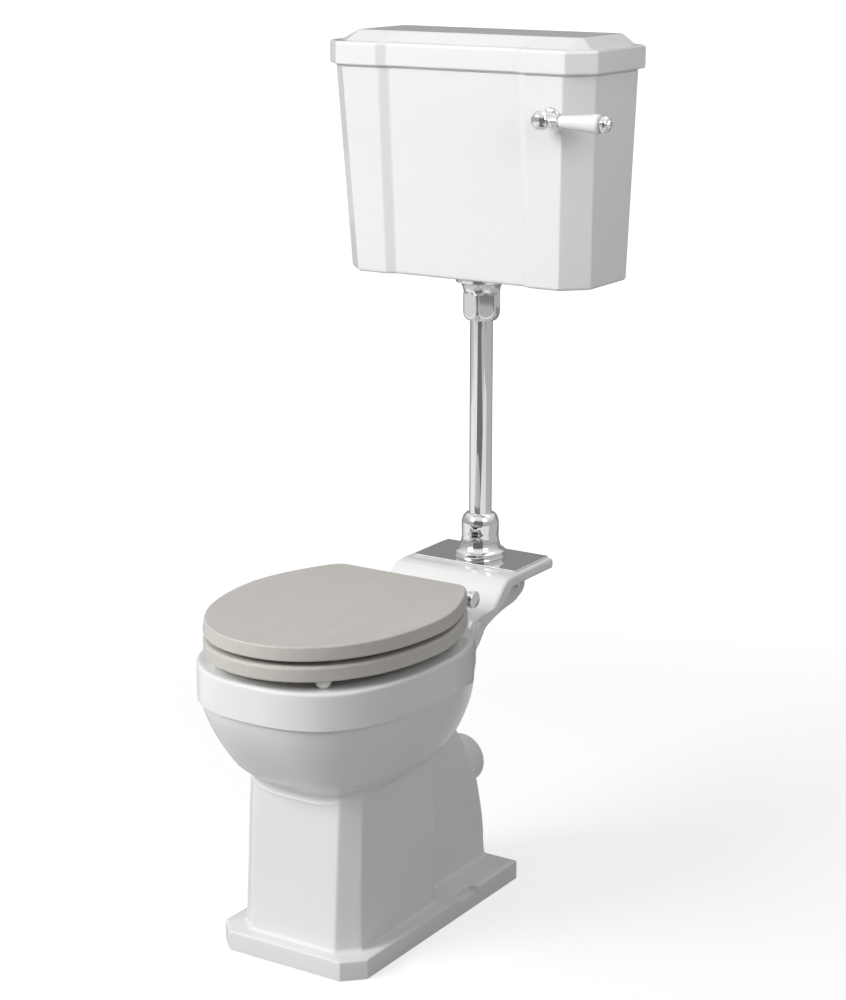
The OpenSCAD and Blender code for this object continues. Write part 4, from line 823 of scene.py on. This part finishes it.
    def plinth_points(self) -> Array:
        """The plinth: a chamfered slab with a rounded upper edge and two pockets for screws.

        The outline is drawn with its two pockets; the rows below their well are the same outline
        with the pockets' points carried out to the side.
        """
        half, length, size = self.plinth_half_w, self.plinth_half_l, self.plinth_round
        y0, y1, deep = self.pocket
        fall, rise = quarter(6)
        rows_z = np.concatenate([[0, 0.6, 2.0, self.pocket_low, self.pocket_low],
                                 self.plinth_h - size * fall, [self.plinth_h]])
        inset = np.concatenate([[0.8, 0.1, 0, 0, 0], size * rise, [12.0]])
        leg, in_pocket = self.plinth_chamfer - inset * CHAMFER_LOSS, np.minimum(inset, size)
        w, f, n = half - inset, length - inset, half - deep - in_pocket
        low, high = y0 - in_pocket, y1 + in_pocket
        corners = both_sides([(w - leg, -f), (w, leg - f), (w, low), (n, low), (n, high),
                              (w, high), (w, f)])
        rounds = [4, 4, 1.5, 6, 6, 1.5, 3.5]
        ring = rounded_corners(corners, rounds[::-1] + rounds, 5)
        full = ring[:4].copy()
        x, y = full[..., 0], full[..., 1]
        near = (np.abs(y - (y0 + y1) / 2) < (y1 - y0) / 2 + 2.0) & (np.abs(x) > half / 2)
        full[..., 0] = np.where(near, np.sign(x) * (half - inset[:4])[:, None], x)
        return with_height(np.concatenate([full, ring[4:]]), rows_z)

    def pocket_points(self, side: int) -> Array:
        """The floor of one pocket, with the screw's hole going down through it."""
        y0, y1, deep = self.pocket
        x0, x1 = self.plinth_half_w - deep - 4.0, self.plinth_half_w - 0.02
        corners = np.array([[[x0, y0 - 2], [x1, y0 - 2], [x1, y1 + 2], [x0, y1 + 2]]], float)
        rim = rounded_corners(corners, 1.0, steps=11)[0]
        middle = np.array([self.screw_x, (y0 + y1) / 2])
        angle = np.arctan2(*(rim - middle).T[::-1])
        hole = middle + self.screw_r * np.stack([np.cos(angle), np.sin(angle)], axis=1)
        z = self.pocket_low + 0.02
        rows = (rim, rim, mix(rim, hole, 0.5), mix(rim, hole, 0.9), hole, hole, hole)
        grid = with_height(np.stack(rows), z - np.array([14.0, 0, 0, 0, 0, 0.4, 12.0]))
        return grid if side > 0 else grid[:, ::-1] * np.array([-1.0, 1.0, 1.0])

    def spigot_points(self) -> Array:
        """The outlet: a tube with a rounded lip, swelling where it leaves the housing."""
        r, bore = self.spigot_r
        profile = rounded_profile([(r, 100, 0), (r, 286, 2.2), (bore, 286, 2.2), (bore, 190, 0)], 5)
        along = np.concatenate([np.linspace(150, 238, 20), np.linspace(240, 248, 7),
                                np.linspace(254, 282, 8)])
        outer = np.stack([r + 2.5 * (1 - ease(along, 239.0, 244.0)), along], axis=1)
        grid = lathe(np.concatenate([outer, profile[1:]]), 72) @ ALONG_Y.T
        return grid + np.array([0, 0, self.spigot_z])

    def build(self) -> None:
        """Makes the pan."""
        body = Shell("pan_china").grid(self.body_points()).grid(self.plinth_points())
        for side in (-1, 1):
            body.grid(self.pocket_points(side))
        body.grid(self.neck_points(), flip=True).grid(self.spigot_points())
        body.build("root", GLAZE, "pan")


# Cistern


PANEL_ROUNDS = [5.0, 5.0, 5.0, 9.0, 11.0, 11.0, 9.0, 5.0, 5.0, 5.0]


def panelled(w: Array, front: Array, back: Array, chamfer: Array, depth: Array,
             panel: float = 241.0, slope: float = 15.0) -> Array:
    """A stack of rounded outlines with chamfered front corners and a recessed front panel.

    Args:
        w: half-widths, one for each outline.
        front: places of the front faces.
        back: places of the backs.
        chamfer: legs of the chamfers.
        depth: depths of the panels.
        panel: width of the panel's flat.
        slope: width of the slope at each side of it.

    Returns:
        Outlines shaped (rows, points, 2), counter-clockwise.
    """
    w, front, back, chamfer, depth = np.broadcast_arrays(w, front, back, chamfer, depth)
    p = np.full_like(w, panel / 2, dtype=float)
    corners = both_sides([(p, front + depth), (p + slope, front), (w - chamfer, front),
                          (w, front + chamfer), (w, back)])
    return rounded_corners(corners, PANEL_ROUNDS)


@dataclass
class Cistern:
    """The wall-hung cistern's china: a tapering cup with chamfered corners, a panel and pads."""

    z: float = 1002.0
    h: float = 336.0
    foot: Pair = (455.0, 158.0)
    top: Pair = (484.0, 180.0)
    back: float = 416.0
    chamfer: float = 38.0
    depth: float = 9.0
    wall: float = 10.0
    floor: float = 12.0
    foot_round: float = 5.0
    rim_round: float = 1.5
    inner_round: float = 6.0
    pad: tuple[float, float, float, float] = (150.0, 1292.0, 20.0, 10.0)

    def outline(self, z: Array, inset: Array, level: Array | float = 0.0) -> Array:
        """Outlines at heights, drawn in by insets; level takes away the panel's recess."""
        t = (np.asarray(z, float) - self.z) / self.h
        w = mix(self.foot[0], self.top[0], t) / 2 - inset
        front = self.back - mix(self.foot[1], self.top[1], t) + level + inset
        return panelled(w, front, self.back - inset, self.chamfer - inset * CHAMFER_LOSS,
                        self.depth - level)

    def build(self) -> None:
        """Makes the body."""
        top, floor_z, wall = self.z + self.h, self.z + self.floor, self.wall
        fall, rise = quarter(6)
        z = np.concatenate([
            [self.z, self.z], self.z + self.foot_round * rise, [self.z + 7],
            np.linspace(1040, 1310, 4), [top - 4], top - self.rim_round * fall,
            [top - 0.3, top - 2, top - 6, floor_z + 12], floor_z + self.inner_round * fall,
            [floor_z, floor_z]])
        inset = np.concatenate([
            [24, 7], self.foot_round * fall, np.zeros(6), self.rim_round * rise,
            [wall - 1.5, wall, wall, wall], wall + self.inner_round * rise, [wall + 8, wall + 30]])
        level = np.zeros_like(z)
        level[[0, -1]] = self.depth
        body = Shell("cistern_china").grid(with_height(self.outline(z, inset, level), z))
        x, pad_z, r, t = self.pad
        rim = rounded_profile([(r, self.back - 4, 0), (r, self.back + t, 1.2),
                               (5, self.back + t, 0.6), (5, self.back - 3, 0)], 3)
        for side in (-1, 1):
            body.grid(lathe(rim, 48) @ ALONG_Y.T + np.array([side * x, 0, pad_z]))
        body.build("root", GLAZE, "cistern_body")


@dataclass
class CisternLid:
    """The cistern's china lid: a band over a drip edge, a ledge, and a slope up to a flat top."""

    w: float = 499.0
    front: float = 228.5
    back: float = 426.0
    foot_z: float = 1338.3
    drip: float = 2.7
    ledge_z: float = 1378.0
    ledge_w: float = 18.0
    rise: float = 16.0
    slope: Pair = (24.0, 43.0)
    over: float = 7.5
    pad: float = 10.0
    lip: float = 12.5
    depth: float = 9.0
    chamfer: float = 38.0
    foot_chamfer: float = 34.0
    slope_chamfer: Pair = (28.0, 3.0)
    low_round: float = 3.0
    high_round: float = 5.0

    # Share of the slope's run; share of its rise.
    SLOPE = ((0, 0.02), (0.03, 0.045), (0.08, 0.10), (0.3, 0.315), (0.6, 0.63), (0.8, 0.84),
             (0.88, 0.92), (0.93, 0.962), (0.97, 0.987), (1.0, 1.0), (1.04, 1.0))

    def section(self, rows: list[tuple[float, float, float, float, float, float]]) -> Array:
        """Outlines from rows of height, side, front and back inset, chamfer and panel depth."""
        z, side, front, rear, chamfer, depth = np.asarray(rows, float).T
        return with_height(panelled(self.w / 2 - side, self.front + front, self.back - rear,
                                    chamfer, depth), z)

    def lip_rows(self) -> Array:
        """The underside: a hollow ceiling and the lip that stands inside the body's walls."""
        body = Cistern()
        top, ceiling = body.z + body.h, self.ledge_z - 11
        inset = self.lip + np.array([36, 6, 6, 4, 1.5, 0, 0], float)
        z = [self.rise + ceiling, ceiling, top - 8, top - 9, top - 9, top - 7, self.foot_z + 0.4]
        return with_height(body.outline(np.full(len(z), top), inset), z)

    def build(self) -> None:
        """Makes the lid."""
        low, high, over = self.foot_z + self.drip, self.ledge_z, self.over + 0.5

        def edge(z: float, inset: float) -> tuple[float, float, float, float, float, float]:
            """A row of the band, drawn in by an inset."""
            return z, inset, inset, min(inset, 2.0), self.chamfer - inset * 0.58, self.depth

        rows = [(z, over, over, self.pad + 0.5, self.foot_chamfer, self.depth)
                for z in (self.foot_z, low)]
        rows += [edge(low + self.low_round * r, self.low_round * f) for f, r in zip(*quarter(5))]
        rows += [edge(low + 6, 0), edge(high - 7, 0)]
        rows += [edge(high - self.high_round * f, self.high_round * r)
                 for f, r in zip(*quarter(7))]
        rows += [edge(high, 6.5), edge(high, self.ledge_w - 4)]
        rows += [(high + self.rise * up, self.ledge_w + self.slope[0] * run,
                  self.ledge_w + self.slope[1] * run, 2.0, mix(*self.slope_chamfer, min(run, 1.0)),
                  self.depth * max(0.0, 1 - run)) for run, up in self.SLOPE]
        grid = np.concatenate([self.lip_rows(), self.section(rows)])
        Shell("cistern_lid_china").grid(grid).build("cistern_lid", GLAZE, "cistern_lid")


# Seat


@dataclass
class Seat:
    """The wooden seat ring and lid, of one outline, with their buffers."""

    half_w: float = 183.0
    front: float = 325.0
    back: float = 100.0
    back_half: float = 123.0
    mid: float = -72.0
    front_n: float = 2.14
    side_power: float = 1.72
    corner: float = 13.0
    ring_z: float = 495.0
    ring_t: float = 24.0
    lid_z: float = 527.0
    lid_t: float = 22.0
    lean: float = 2.0
    rounds: Pair = (3.0, 5.0)
    lid_rounds: Pair = (2.5, 3.0)
    hole: Triple = (108.0, 255.0, 22.0)

    # Body; radius, foot and height of its buffers, and where the right ones stand.
    BUFFERS = (("ring", 12.0, 480.2, 14.6, ((98, -266), (142, 30))),
               ("lid", 7.0, 519.2, 7.6, ((108.6, -248.4), (135.2, -10))))

    def half(self) -> Array:
        """Right half of the outline: a superellipse, a power curve and a bent corner."""
        a = np.linspace(0, np.pi / 2, 56)
        first = np.stack([self.half_w * np.sin(a) ** (2 / self.front_n), self.mid
                          - (self.front + self.mid) * np.cos(a) ** (2 / self.front_n)], 1)
        u = np.linspace(0, 0.86, 22)[1:]
        side = np.stack([self.half_w - (self.half_w - self.back_half) * u ** self.side_power,
                         mix(self.mid, self.back, u)], 1)
        t = np.linspace(0, 1, 12)[1:, None]
        turn, last = np.array([[self.back_half, self.back],
                               [self.back_half - self.corner, self.back]])
        corner = side[-1] * (1 - t) ** 2 + turn * 2 * t * (1 - t) + last * t ** 2
        rear = np.stack([np.array([105.0, 60.0, 20.0]), np.full(3, self.back)], 1)
        return np.concatenate([first, side, corner, rear])

    def outline(self, inset: Array) -> Array:
        """The whole outline, scaled in by each inset about its widest line."""
        half = self.half()
        x, y = np.concatenate([half, half[:0:-1] * MIRROR]).T
        inset = np.asarray(inset, float)[:, None]
        length = np.where(y > self.mid, self.back - self.mid, self.front + self.mid)
        return np.stack([x * (1 - inset / self.half_w),
                         self.mid + (y - self.mid) * (1 - inset / length)], axis=2)

    def opening(self, grow: Array) -> Array:
        """The ring's opening, a superellipse, at the same angles as the outline's points."""
        x, y = self.outline(np.zeros(1))[0].T
        centre = self.mid - 5.0
        angle = np.arctan2(y - centre, x)[None]
        grow = grow[:, None]
        side, front, back = self.hole
        n = mix(2.1, 2.4, ease(np.sin(angle), -0.1, 0.1))
        r = oval(angle, side + grow, front + centre + grow, back - centre + grow, n)
        return around(r, angle, 0.0, centre)[..., :2]

    def ring(self) -> None:
        """Makes the ring: up the outside, over the top, down the opening and back below."""
        z0, z1, (a, b) = self.ring_z, self.ring_z + self.ring_t, self.rounds
        fall, rise = quarter(6)
        out_z = np.concatenate([[z0], z0 + a * rise, [z0 + 4, z1 - 6.5], z1 - b * fall, [z1]])
        out_in = np.concatenate([[5], a * fall, [0, 0], b * rise, [6.5]])
        in_z = np.concatenate([[z1], z1 - b * rise, [z1 - 6.5, z0 + 4], z0 + a * fall, [z0]])
        grow = np.concatenate([[7.5], 6 * fall, [0, 0], a * rise, [4.5]])
        grid = np.concatenate([with_height(self.outline(out_in), out_z),
                               with_height(self.opening(grow), in_z)])
        Shell("seat_ring_wood").grid(grid, Ends.LOOP).build("ring", PAINTED_WOOD, "seat_ring")

    def lid(self) -> None:
        """Makes the lid: a board with a small rounding below and above."""
        z0, z1, (a, b), lean = self.lid_z, self.lid_z + self.lid_t, self.lid_rounds, self.lean
        fall, rise = quarter(7)
        z = np.concatenate([[z0, z0], z0 + a * rise, [z0 + 4, z1 - 4.5], z1 - b * fall, [z1, z1]])
        inset = np.concatenate([[30, 4], a * fall, [0, lean], lean + b * rise, [7, 40]])
        grid = with_height(self.outline(inset), z)
        Shell("seat_lid_wood").grid(grid).build("lid", PAINTED_WOOD, "seat_lid")

    def buffers(self) -> None:
        """Makes the soft white buffers under the ring and under the lid."""
        for body_name, r, z, h, places in self.BUFFERS:
            shape = rounded_profile([(2, 0, 0), (r / 2, 0, 0), (r, r / 2, r / 2), (r, h, 0.8),
                                     (2, h, 0)], 6)
            body = Shell(body_name + "_feet")
            for x, y in places:
                for side in (-1, 1):
                    body.grid(lathe(shape, 40) + np.array([side * x, y, z]))
            body.build(body_name, WHITE_PLASTIC, body_name + "_buffers")

    def build(self) -> None:
        """Makes the ring, the lid and their buffers."""
        self.ring()
        self.lid()
        self.buffers()


# Chrome


@dataclass
class FlushPipe:
    """The chrome plate, the pipe on the axis x = 0, and its couplings."""

    y: float = 339.0
    pipe_r: float = 19.0
    pipe_wall: float = 1.6
    pipe_z: Pair = (533.9, 967.4)
    flange_z: float = 522.6
    flange_r: float = 43.0
    flange_bore: float = 15.0
    band: float = 11.0
    flare: float = 15.0
    nut_round: float = 31.5
    nut_flat: float = 28.146
    nut_turn: float = -16.0
    nut_bore: float = 26.8
    nut_h: float = 49.0
    dome: float = 19.0
    bell: float = 33.0
    lower_nut_z: float = 548.9
    upper_nut_top: float = 975.4
    back_top: float = 1001.7
    back_bore: float = 24.0
    plate: Triple = (100.0, 286.0, 397.0)

    # Height and inset of the plate's outlines.
    PLATE = np.array([[520.3, 0.6], [520.45, 0.15], [520.9, 0], [521.7, 0], [522.1, 0.2],
                      [522.3, 0.6], [522.3, 1.6]])

    def flare_curve(self, a: Array, whole: float, foot: float) -> Array:
        """A hollow quarter ellipse from the band's edge to the nut, at angles a, above a foot."""
        top = self.nut_round - 1
        return np.stack([top + (self.flange_r - top - 1) * (1 - np.sin(a)),
                         foot + whole * (1 - np.cos(a))], 1)

    def flare_profile(self, inner: float, whole: float) -> Array:
        """The band and its hollow flare: the lower part of a quarter ellipse.

        Args:
            inner: radius of the bore.
            whole: height of the whole quarter ellipse, of which the flare's height is cut off.

        Returns:
            The profile, as radius and height.
        """
        curve = self.flare_curve(np.linspace(0, math.acos(1 - self.flare / whole), 14), whole,
                                 self.band)
        edge = rounded_profile([(inner, 0, 0), (self.flange_r, 0, 0.8),
                                (self.flange_r, self.band, 1.6),
                                (self.flange_r - 4, self.band + 0.12, 0)])[:-1]
        high = self.band + self.flare
        return np.concatenate([edge, curve[1:], [[curve[-1, 0] - 0.6, high], [inner, high]]])

    def dome_profile(self) -> Array:
        """A nut's domed shoulder and the mouth that the pipe comes out of."""
        a = np.linspace(0, math.pi / 2, 12)
        inner, mouth = self.pipe_r + 1.4, self.pipe_r + 0.4
        dome = np.stack([inner + (self.nut_round - inner) * np.cos(a),
                         self.nut_h - self.dome + self.dome * np.sin(a)], 1)
        return np.concatenate([dome, [[mouth, self.nut_h - 0.8], [mouth, self.nut_h - 6]]])

    def nut_profile(self) -> Array:
        """The upper nut's outline: a chamfered foot, an upright side and a domed shoulder."""
        foot = rounded_profile([(self.nut_bore, 0, 0), (self.nut_round - 2.5, 0, 0.8),
                                (self.nut_round, 4, 1.5), (self.nut_round, 10, 0)], 3)
        return np.concatenate([foot, self.dome_profile()])

    def bell_profile(self) -> Array:
        """The lower nut's outline: its foot takes the flange's flare on up to an upright side."""
        a = np.linspace(math.acos(1 - self.flare / self.bell), math.pi / 2, 10)
        curve = self.flare_curve(a, self.bell, -self.flare)
        curve[:, 0] += np.linspace(0, 1, 10) ** 2
        foot = [[self.nut_bore, 0], [curve[0, 0] - 0.5, 0]]
        return np.concatenate([foot, curve, self.dome_profile()])

    def build(self) -> None:
        """Makes the plate, flange, nuts, pipe and back nut."""
        side, front, back = self.plate
        z, inset = self.PLATE.T
        corners = both_sides([(side - inset, front + inset), (side - inset, back - inset)])
        ring = with_height(rounded_corners(np.roll(corners, -1, 1), 2.0, 4), z)
        Shell("plate_chrome").grid(ring).build("root", CHROME, "cover_plate")
        flange = lathe(self.flare_profile(self.flange_bore, self.bell), 128)
        back_nut = lathe(self.flare_profile(self.back_bore, self.flare), 128)
        bell = lathe(self.bell_profile(), 128)
        nut = lathe(self.nut_profile(), 192, 6, self.nut_flat, self.nut_turn)
        for name, node, turn, z, grid, sharp in (
                ("flange_chrome", "inlet_flange", None, self.flange_z, flange, 40),
                ("back_nut_chrome", "siphon_back_nut", UPSIDE_DOWN, self.back_top, back_nut, 40),
                ("lower_nut_chrome", "lower_coupling_nut", None, self.lower_nut_z, bell, 50),
                ("upper_nut_chrome", "upper_coupling_nut", UPSIDE_DOWN, self.upper_nut_top, nut,
                 50)):
            shell = Shell(name, turn, (0, self.y, z)).grid(grid)
            shell.build("root", CHROME, node, sharp=sharp)
        outer, bore, (z0, z1) = self.pipe_r, self.pipe_r - self.pipe_wall, self.pipe_z
        wall = rounded_profile([(bore, z0 + 10, 0), (bore, z0, 0.5), (outer, z0, 0.5),
                                (outer, z0 + 10, 0), (outer, z1 - 10, 0), (outer, z1, 0.5),
                                (bore, z1, 0.5), (bore, z1 - 10, 0)], 3)
        pipe = Shell("pipe_chrome", shift=(0, self.y, 0)).grid(lathe(wall, 128), Ends.LOOP)
        pipe.build("root", CHROME, "flush_pipe")


@dataclass
class Lever:
    """The flush lever in its leaning frame: boss, hub, stem with collars, grip and finial."""

    origin: Triple = (183.0, 240.092, 1275.5)
    lean: float = 3.746162
    hub_out: float = 24.0
    out: float = 35.0
    grip: tuple[float, float, float, float] = (35.5, 105.7, 9.5, 15.0)
    flats: Pair = (15.244, 12.842)

    def part(self, name: str, node: str, profile: list[Triple], out: float | None = None,
             finish: Finish = CHROME, body: str = "lever", flat: float = 0.0) -> None:
        """Makes one turned part.

        Args:
            name: the object's name.
            node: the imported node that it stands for.
            profile: (radius, height, rounding) of its corners.
            out: how far in front of the boss it starts, turned to the front; None lays it along
                the lever, on the lever's own line.
            finish: its finish.
            body: the body that it rides on.
            flat: distance of its eight flats from the axis, or 0 for none.
        """
        a = math.radians(self.lean)
        tilt = np.array([[1, 0, 0], [0, math.cos(a), -math.sin(a)], [0, math.sin(a), math.cos(a)]])
        turn, out = (ALONG_X, self.out) if out is None else (TO_FRONT, out)
        shell = Shell(name, tilt @ turn, np.array(self.origin) + tilt @ np.array([0, -out, 0]))
        shell.grid(lathe(rounded_profile(profile), 144, 8 if flat else 0, flat))
        shell.build(body, finish, node, sharp=35)

    def build(self) -> None:
        """Makes the lever's parts."""
        self.part("boss_chrome", "lever_boss", [
            (5, 0.3, 0), (16, 0.3, 0.2), (16, 2.4, 0.6), (14, 5.2, 1.0), (11, 6.2, 0.6),
            (9.5, 9.4, 1.2), (9.5, 22.7, 0.3), (5, 22.7, 0)], 0.0, body="root")
        self.part("hub_chrome", "lever_hub", [
            (5, 0, 0), (12, 0, 0.5), (16, 4, 1.5), (16, 13, 1.5), (13, 17.5, 3), (8, 20.5, 5),
            (0.3, 22, 0)], self.hub_out, flat=self.flats[0])
        self.part("stem_chrome", "lever_stem", [
            (4, 15.6, 0), (8, 15.6, 0.4), (7, 17.5, 1), (7, 23, 1.2), (11, 24, 0.8),
            (13.5, 25.5, 1), (13.5, 28, 1), (11, 29.2, 0.5), (11, 30, 0.5), (13.5, 31.2, 1),
            (13.5, 33.5, 1), (10, 35.2, 0.4), (3, 35.2, 0)])
        start, end, thin, thick = self.grip
        flank = [(mix(thin, thick, s ** 1.25), start + (end - start - 7) * s, 0.1)
                 for s in np.linspace(0, 1, 14)[1:].tolist()]
        self.part("grip_china", "lever_grip", [
            (3, start, 0), (thin, start, 0.8), *flank, (thick, end - 3.2, 2.5),
            (thick - 1.6, end, 3.0), (3, end, 0)], finish=GLAZE)
        self.part("finial_chrome", "lever_finial", [
            (3, 106, 0), (10, 106, 0.4), (10.5, 108.5, 0.6), (13.5, 110, 0.8), (13.5, 114.5, 1.2),
            (10.5, 118.5, 1.5), (7, 120.5, 2), (5, 122.9, 1.0), (0.3, 123, 0)],
            flat=self.flats[1])


@dataclass
class HingeCaps:
    """The polished caps on the hinge bar's ends."""

    place: Triple = (111.2, 124.0, 518.0)
    r: float = 14.0
    t: float = 11.0

    def build(self) -> None:
        """Makes both caps."""
        shape = rounded_profile([(5, 0, 0), (self.r, 0, 1), (self.r, self.t, 2.2),
                                 (0.3, self.t, 0)], 5)
        caps = Shell("caps_chrome")
        for side in (-1, 1):
            grid = lathe(shape, 72) @ ALONG_X.T + np.array(self.place)
            caps.grid(grid * np.array([side, 1, 1]), flip=side < 0)
        caps.build("root", CHROME, "hinge_caps")


# Stage


def add_sheet(name: str, corners: list[Triple], material: Material) -> bpy.types.Object:
    """A sheet of the stage with four corners, in metres."""
    mesh = bpy.data.meshes.new(name)
    mesh.from_pydata(corners, [], [(0, 1, 2, 3)])
    mesh.materials.append(material)
    return add_object(name, mesh)


@dataclass(frozen=True)
class Lamp:
    """A square area lamp: its place, aim, side in metres, watts and spread in degrees."""

    name: str
    place: Triple
    aim: Triple
    size: float
    watts: float
    spread: float = 180.0
    gloss: bool = True

    def build(self) -> None:
        """Adds the lamp."""
        data = bpy.data.lights.new(self.name, "AREA")
        data.size, data.energy, data.spread = self.size, self.watts, math.radians(self.spread)
        lamp = add_object(self.name, data)
        lamp.location = self.place
        lamp.rotation_mode = "QUATERNION"
        lamp.rotation_quaternion = (Vector(self.aim) - Vector(self.place)).to_track_quat("-Z", "Y")
        lamp.visible_glossy = self.gloss


@dataclass(frozen=True)
class Card:
    """A card in one grey that only gloss and glass see, as a studio's flag.

    It lies on the floor and faces up where it has no aim.
    """

    name: str
    place: Triple
    size: Pair
    grey: float
    aim: Triple | None = None

    def build(self) -> None:
        """Adds the card."""
        w, h = self.size[0] / 2, self.size[1] / 2
        place, aim = Vector(self.place), Vector(self.aim or (*self.place[:2], 60.0))
        turn = (aim - place).to_track_quat("Z", "Y").to_matrix()
        corners = [tuple(place + turn @ Vector(corner))
                   for corner in ((-w, -h, 0), (w, -h, 0), (w, h, 0), (-w, h, 0))]
        made = bpy.data.materials.new(self.name)
        n = Nodes.fresh(made)
        glow = n.add("ShaderNodeEmission", {"Color": (self.grey,) * 3 + (1,), "Strength": 1.0})
        n.add("ShaderNodeOutputMaterial", {"Surface": glow[0]})
        card = add_sheet(self.name, corners, made)
        card.visible_camera = card.visible_diffuse = card.visible_shadow = False


@dataclass
class Studio:
    """Floor, world, lamps, cards and the camera at the photograph's angle.

    To diffuse light the room is as bright as ambient; in gloss and glass it rises over gloss from
    the horizon up to gloss_top. The floor's glow is glow[0] for the camera and rises to 1 over
    glow_span; it is glow[1] in gloss, and bounce to diffuse light.
    """

    azimuth: float = 32.583
    elevation: float = 14.668
    lens: float = 85.24
    place: Triple = (1.9971, -2.9655, 1.6287)
    ambient: float = 0.31
    gloss: Pair = (0.42, 0.86)
    gloss_top: float = 0.8
    glow: Pair = (0.71, 0.30)
    glow_span: Pair = (1.0, 3.2)
    floor_tone: float = 0.36
    floor_z: float = -0.0005
    floor_half: float = 40.0
    bounce: float = 0.07
    flag_turn: float = -13.0

    def camera(self) -> None:
        """Places the camera."""
        a, e = math.radians(self.azimuth), math.radians(self.elevation)
        back = Vector((math.sin(a) * math.cos(e), -math.cos(a) * math.cos(e), math.sin(e)))
        right = Vector((math.cos(a), math.sin(a), 0.0))
        data = bpy.data.cameras.new("camera")
        data.lens, data.sensor_width, data.clip_end = self.lens, 36.0, 100.0
        cam = add_object("camera", data)
        turn = Matrix((right, back.cross(right), back)).transposed().to_4x4()
        cam.matrix_world = Matrix.Translation(Vector(self.place)) @ turn
        bpy.context.scene.camera = cam

    def world(self) -> None:
        """A room that is white to the camera, and a rise of greys in gloss and glass."""
        world = bpy.data.worlds.new("room")
        n = Nodes.fresh(world)
        path = n.add("ShaderNodeLightPath")
        gloss = n.math("MAXIMUM", path["Is Glossy Ray"], path["Is Transmission Ray"])
        way = n.add("ShaderNodeSeparateXYZ", {0: n.add("ShaderNodeTexCoord")["Generated"]})
        rise = n.span(way["Z"], 0.0, self.gloss_top, *self.gloss, "SMOOTHSTEP")
        level = n.choose(path["Is Camera Ray"], n.choose(gloss, self.ambient, rise), 1.0)
        light = n.add("ShaderNodeBackground", {"Color": (1, 1, 1, 1), "Strength": level})
        n.add("ShaderNodeOutputWorld", {"Surface": light[0]})
        bpy.context.scene.world = world

    def floor(self) -> None:
        """A wide pale floor: a diffuse part keeps the shadow, and a glow lifts it to white."""
        made = bpy.data.materials.new("pale_floor")
        n = Nodes.fresh(made)
        path = n.add("ShaderNodeLightPath")
        reach = n.add("ShaderNodeVectorMath", {0: n.add("ShaderNodeTexCoord")["Object"]},
                      operation="LENGTH")["Value"]
        rise = n.span(reach, *self.glow_span, self.glow[0], 1.0, "SMOOTHSTEP")
        seen = n.math("MULTIPLY", path["Is Camera Ray"], rise)
        soft = n.math("MULTIPLY_ADD", path["Is Diffuse Ray"], self.bounce, seen)
        level = n.math("MULTIPLY_ADD", path["Is Glossy Ray"], self.glow[1], soft)
        diffuse = n.add("ShaderNodeBsdfDiffuse", {"Color": (self.floor_tone,) * 3 + (1.0,)})
        glow = n.add("ShaderNodeEmission", {"Color": (1, 1, 1, 1), "Strength": level})
        both = n.add("ShaderNodeAddShader", {0: diffuse[0], 1: glow[0]})
        n.add("ShaderNodeOutputMaterial", {"Surface": both[0]})
        s, z = self.floor_half, self.floor_z
        add_sheet("floor", [(-s, -s, z), (s, -s, z), (s, s, z), (-s, s, z)], made)

    def build(self) -> None:
        """Sets the whole stage."""
        bpy.context.scene.view_settings.view_transform = "Standard"
        self.camera()
        self.world()
        self.floor()
        key, front = (-2.0, -3.45, 3.2), (0, 0.05, 0.6)
        a = math.radians(self.azimuth + self.flag_turn)
        x, y = math.sin(a), -math.cos(a)
        for piece in (
                Lamp("key", key, front, 2.5, 202.0, gloss=False),
                Card("key_sheen", key, (2.5, 2.5), 2.6, front),
                Lamp("top", (1.1, 1.4, 4.4), (0, 0.1, 0.6), 2.4, 12.0),
                Lamp("fill", (3.4, -1.2, 3.6), (0, 0.1, 0.4), 2.0, 8.0),
                Lamp("side", (1.9, -0.6, 2.0), (0.2, 0.3, 1.3), 1.0, 1.6, 60.0),
                Card("rear_card", (-2.6, 7.0, 1.2), (18.0, 4.6), 0.27, (0, 0, 0.9)),
                Card("front_flag", (2.9 * x, 2.9 * y, 0.006), (3.0, 4.4), 0.17),
                Card("standing_flag", (4.5 * x, 4.5 * y, 1.2), (5.4, 3.4), 0.15, (0, 0, 1.2)),
                Card("left_sheen", (-2.4, -0.9, 0.005), (2.2, 2.0), 0.9),
                Card("right_flag", (2.6, 2.0, 0.004), (3.6, 4.4), 0.46),
                Card("right_sheen", (2.4, -0.75, 0.007), (2.7, 1.9), 0.78),
                Card("nut_flag", (5.6, -1.6, 0.008), (1.7, 2.0), 0.2),
                Card("nut_sheen", (-4.2, -3.2, 0.008), (2.0, 2.0), 0.72),
                Card("rear_flag", (-1.9, 3.4, 0.003), (7.0, 4.6), 0.24)):
            piece.build()


class NodeFinishes:
    """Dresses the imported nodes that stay."""

    BY_SLOT = {finish.slot: finish for finish in (GLAZE, CHROME, PAINTED_WOOD, BRASS, STEEL,
                                                  RUBBER, WHITE_PLASTIC, BLUE_PLASTIC)}

    def build(self, nodes: dict[str, bpy.types.Object], subparts: list[dict]) -> None:
        """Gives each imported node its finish.

        Args:
            nodes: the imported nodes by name.
            subparts: the record's list, with each node's material slot.
        """
        slots = {s["node"]: s["material_slot"] for s in subparts if "node" in s}
        for name, obj in sorted(nodes.items()):
            obj.data.materials.clear()
            obj.data.materials.append(self.BY_SLOT[slots[name]].material())


def main() -> None:
    """Builds the toilet's looks in order."""
    logging.basicConfig(level=logging.INFO, format="%(name)s: %(message)s")
    NodeFinishes().build(frame["nodes"], frame["record"]["subparts"])
    for part in (Pan(), Cistern(), CisternLid(), Seat(), FlushPipe(), Lever(), HingeCaps()):
        part.build()
    Studio().build()


if __name__ == "__main__":
    main()
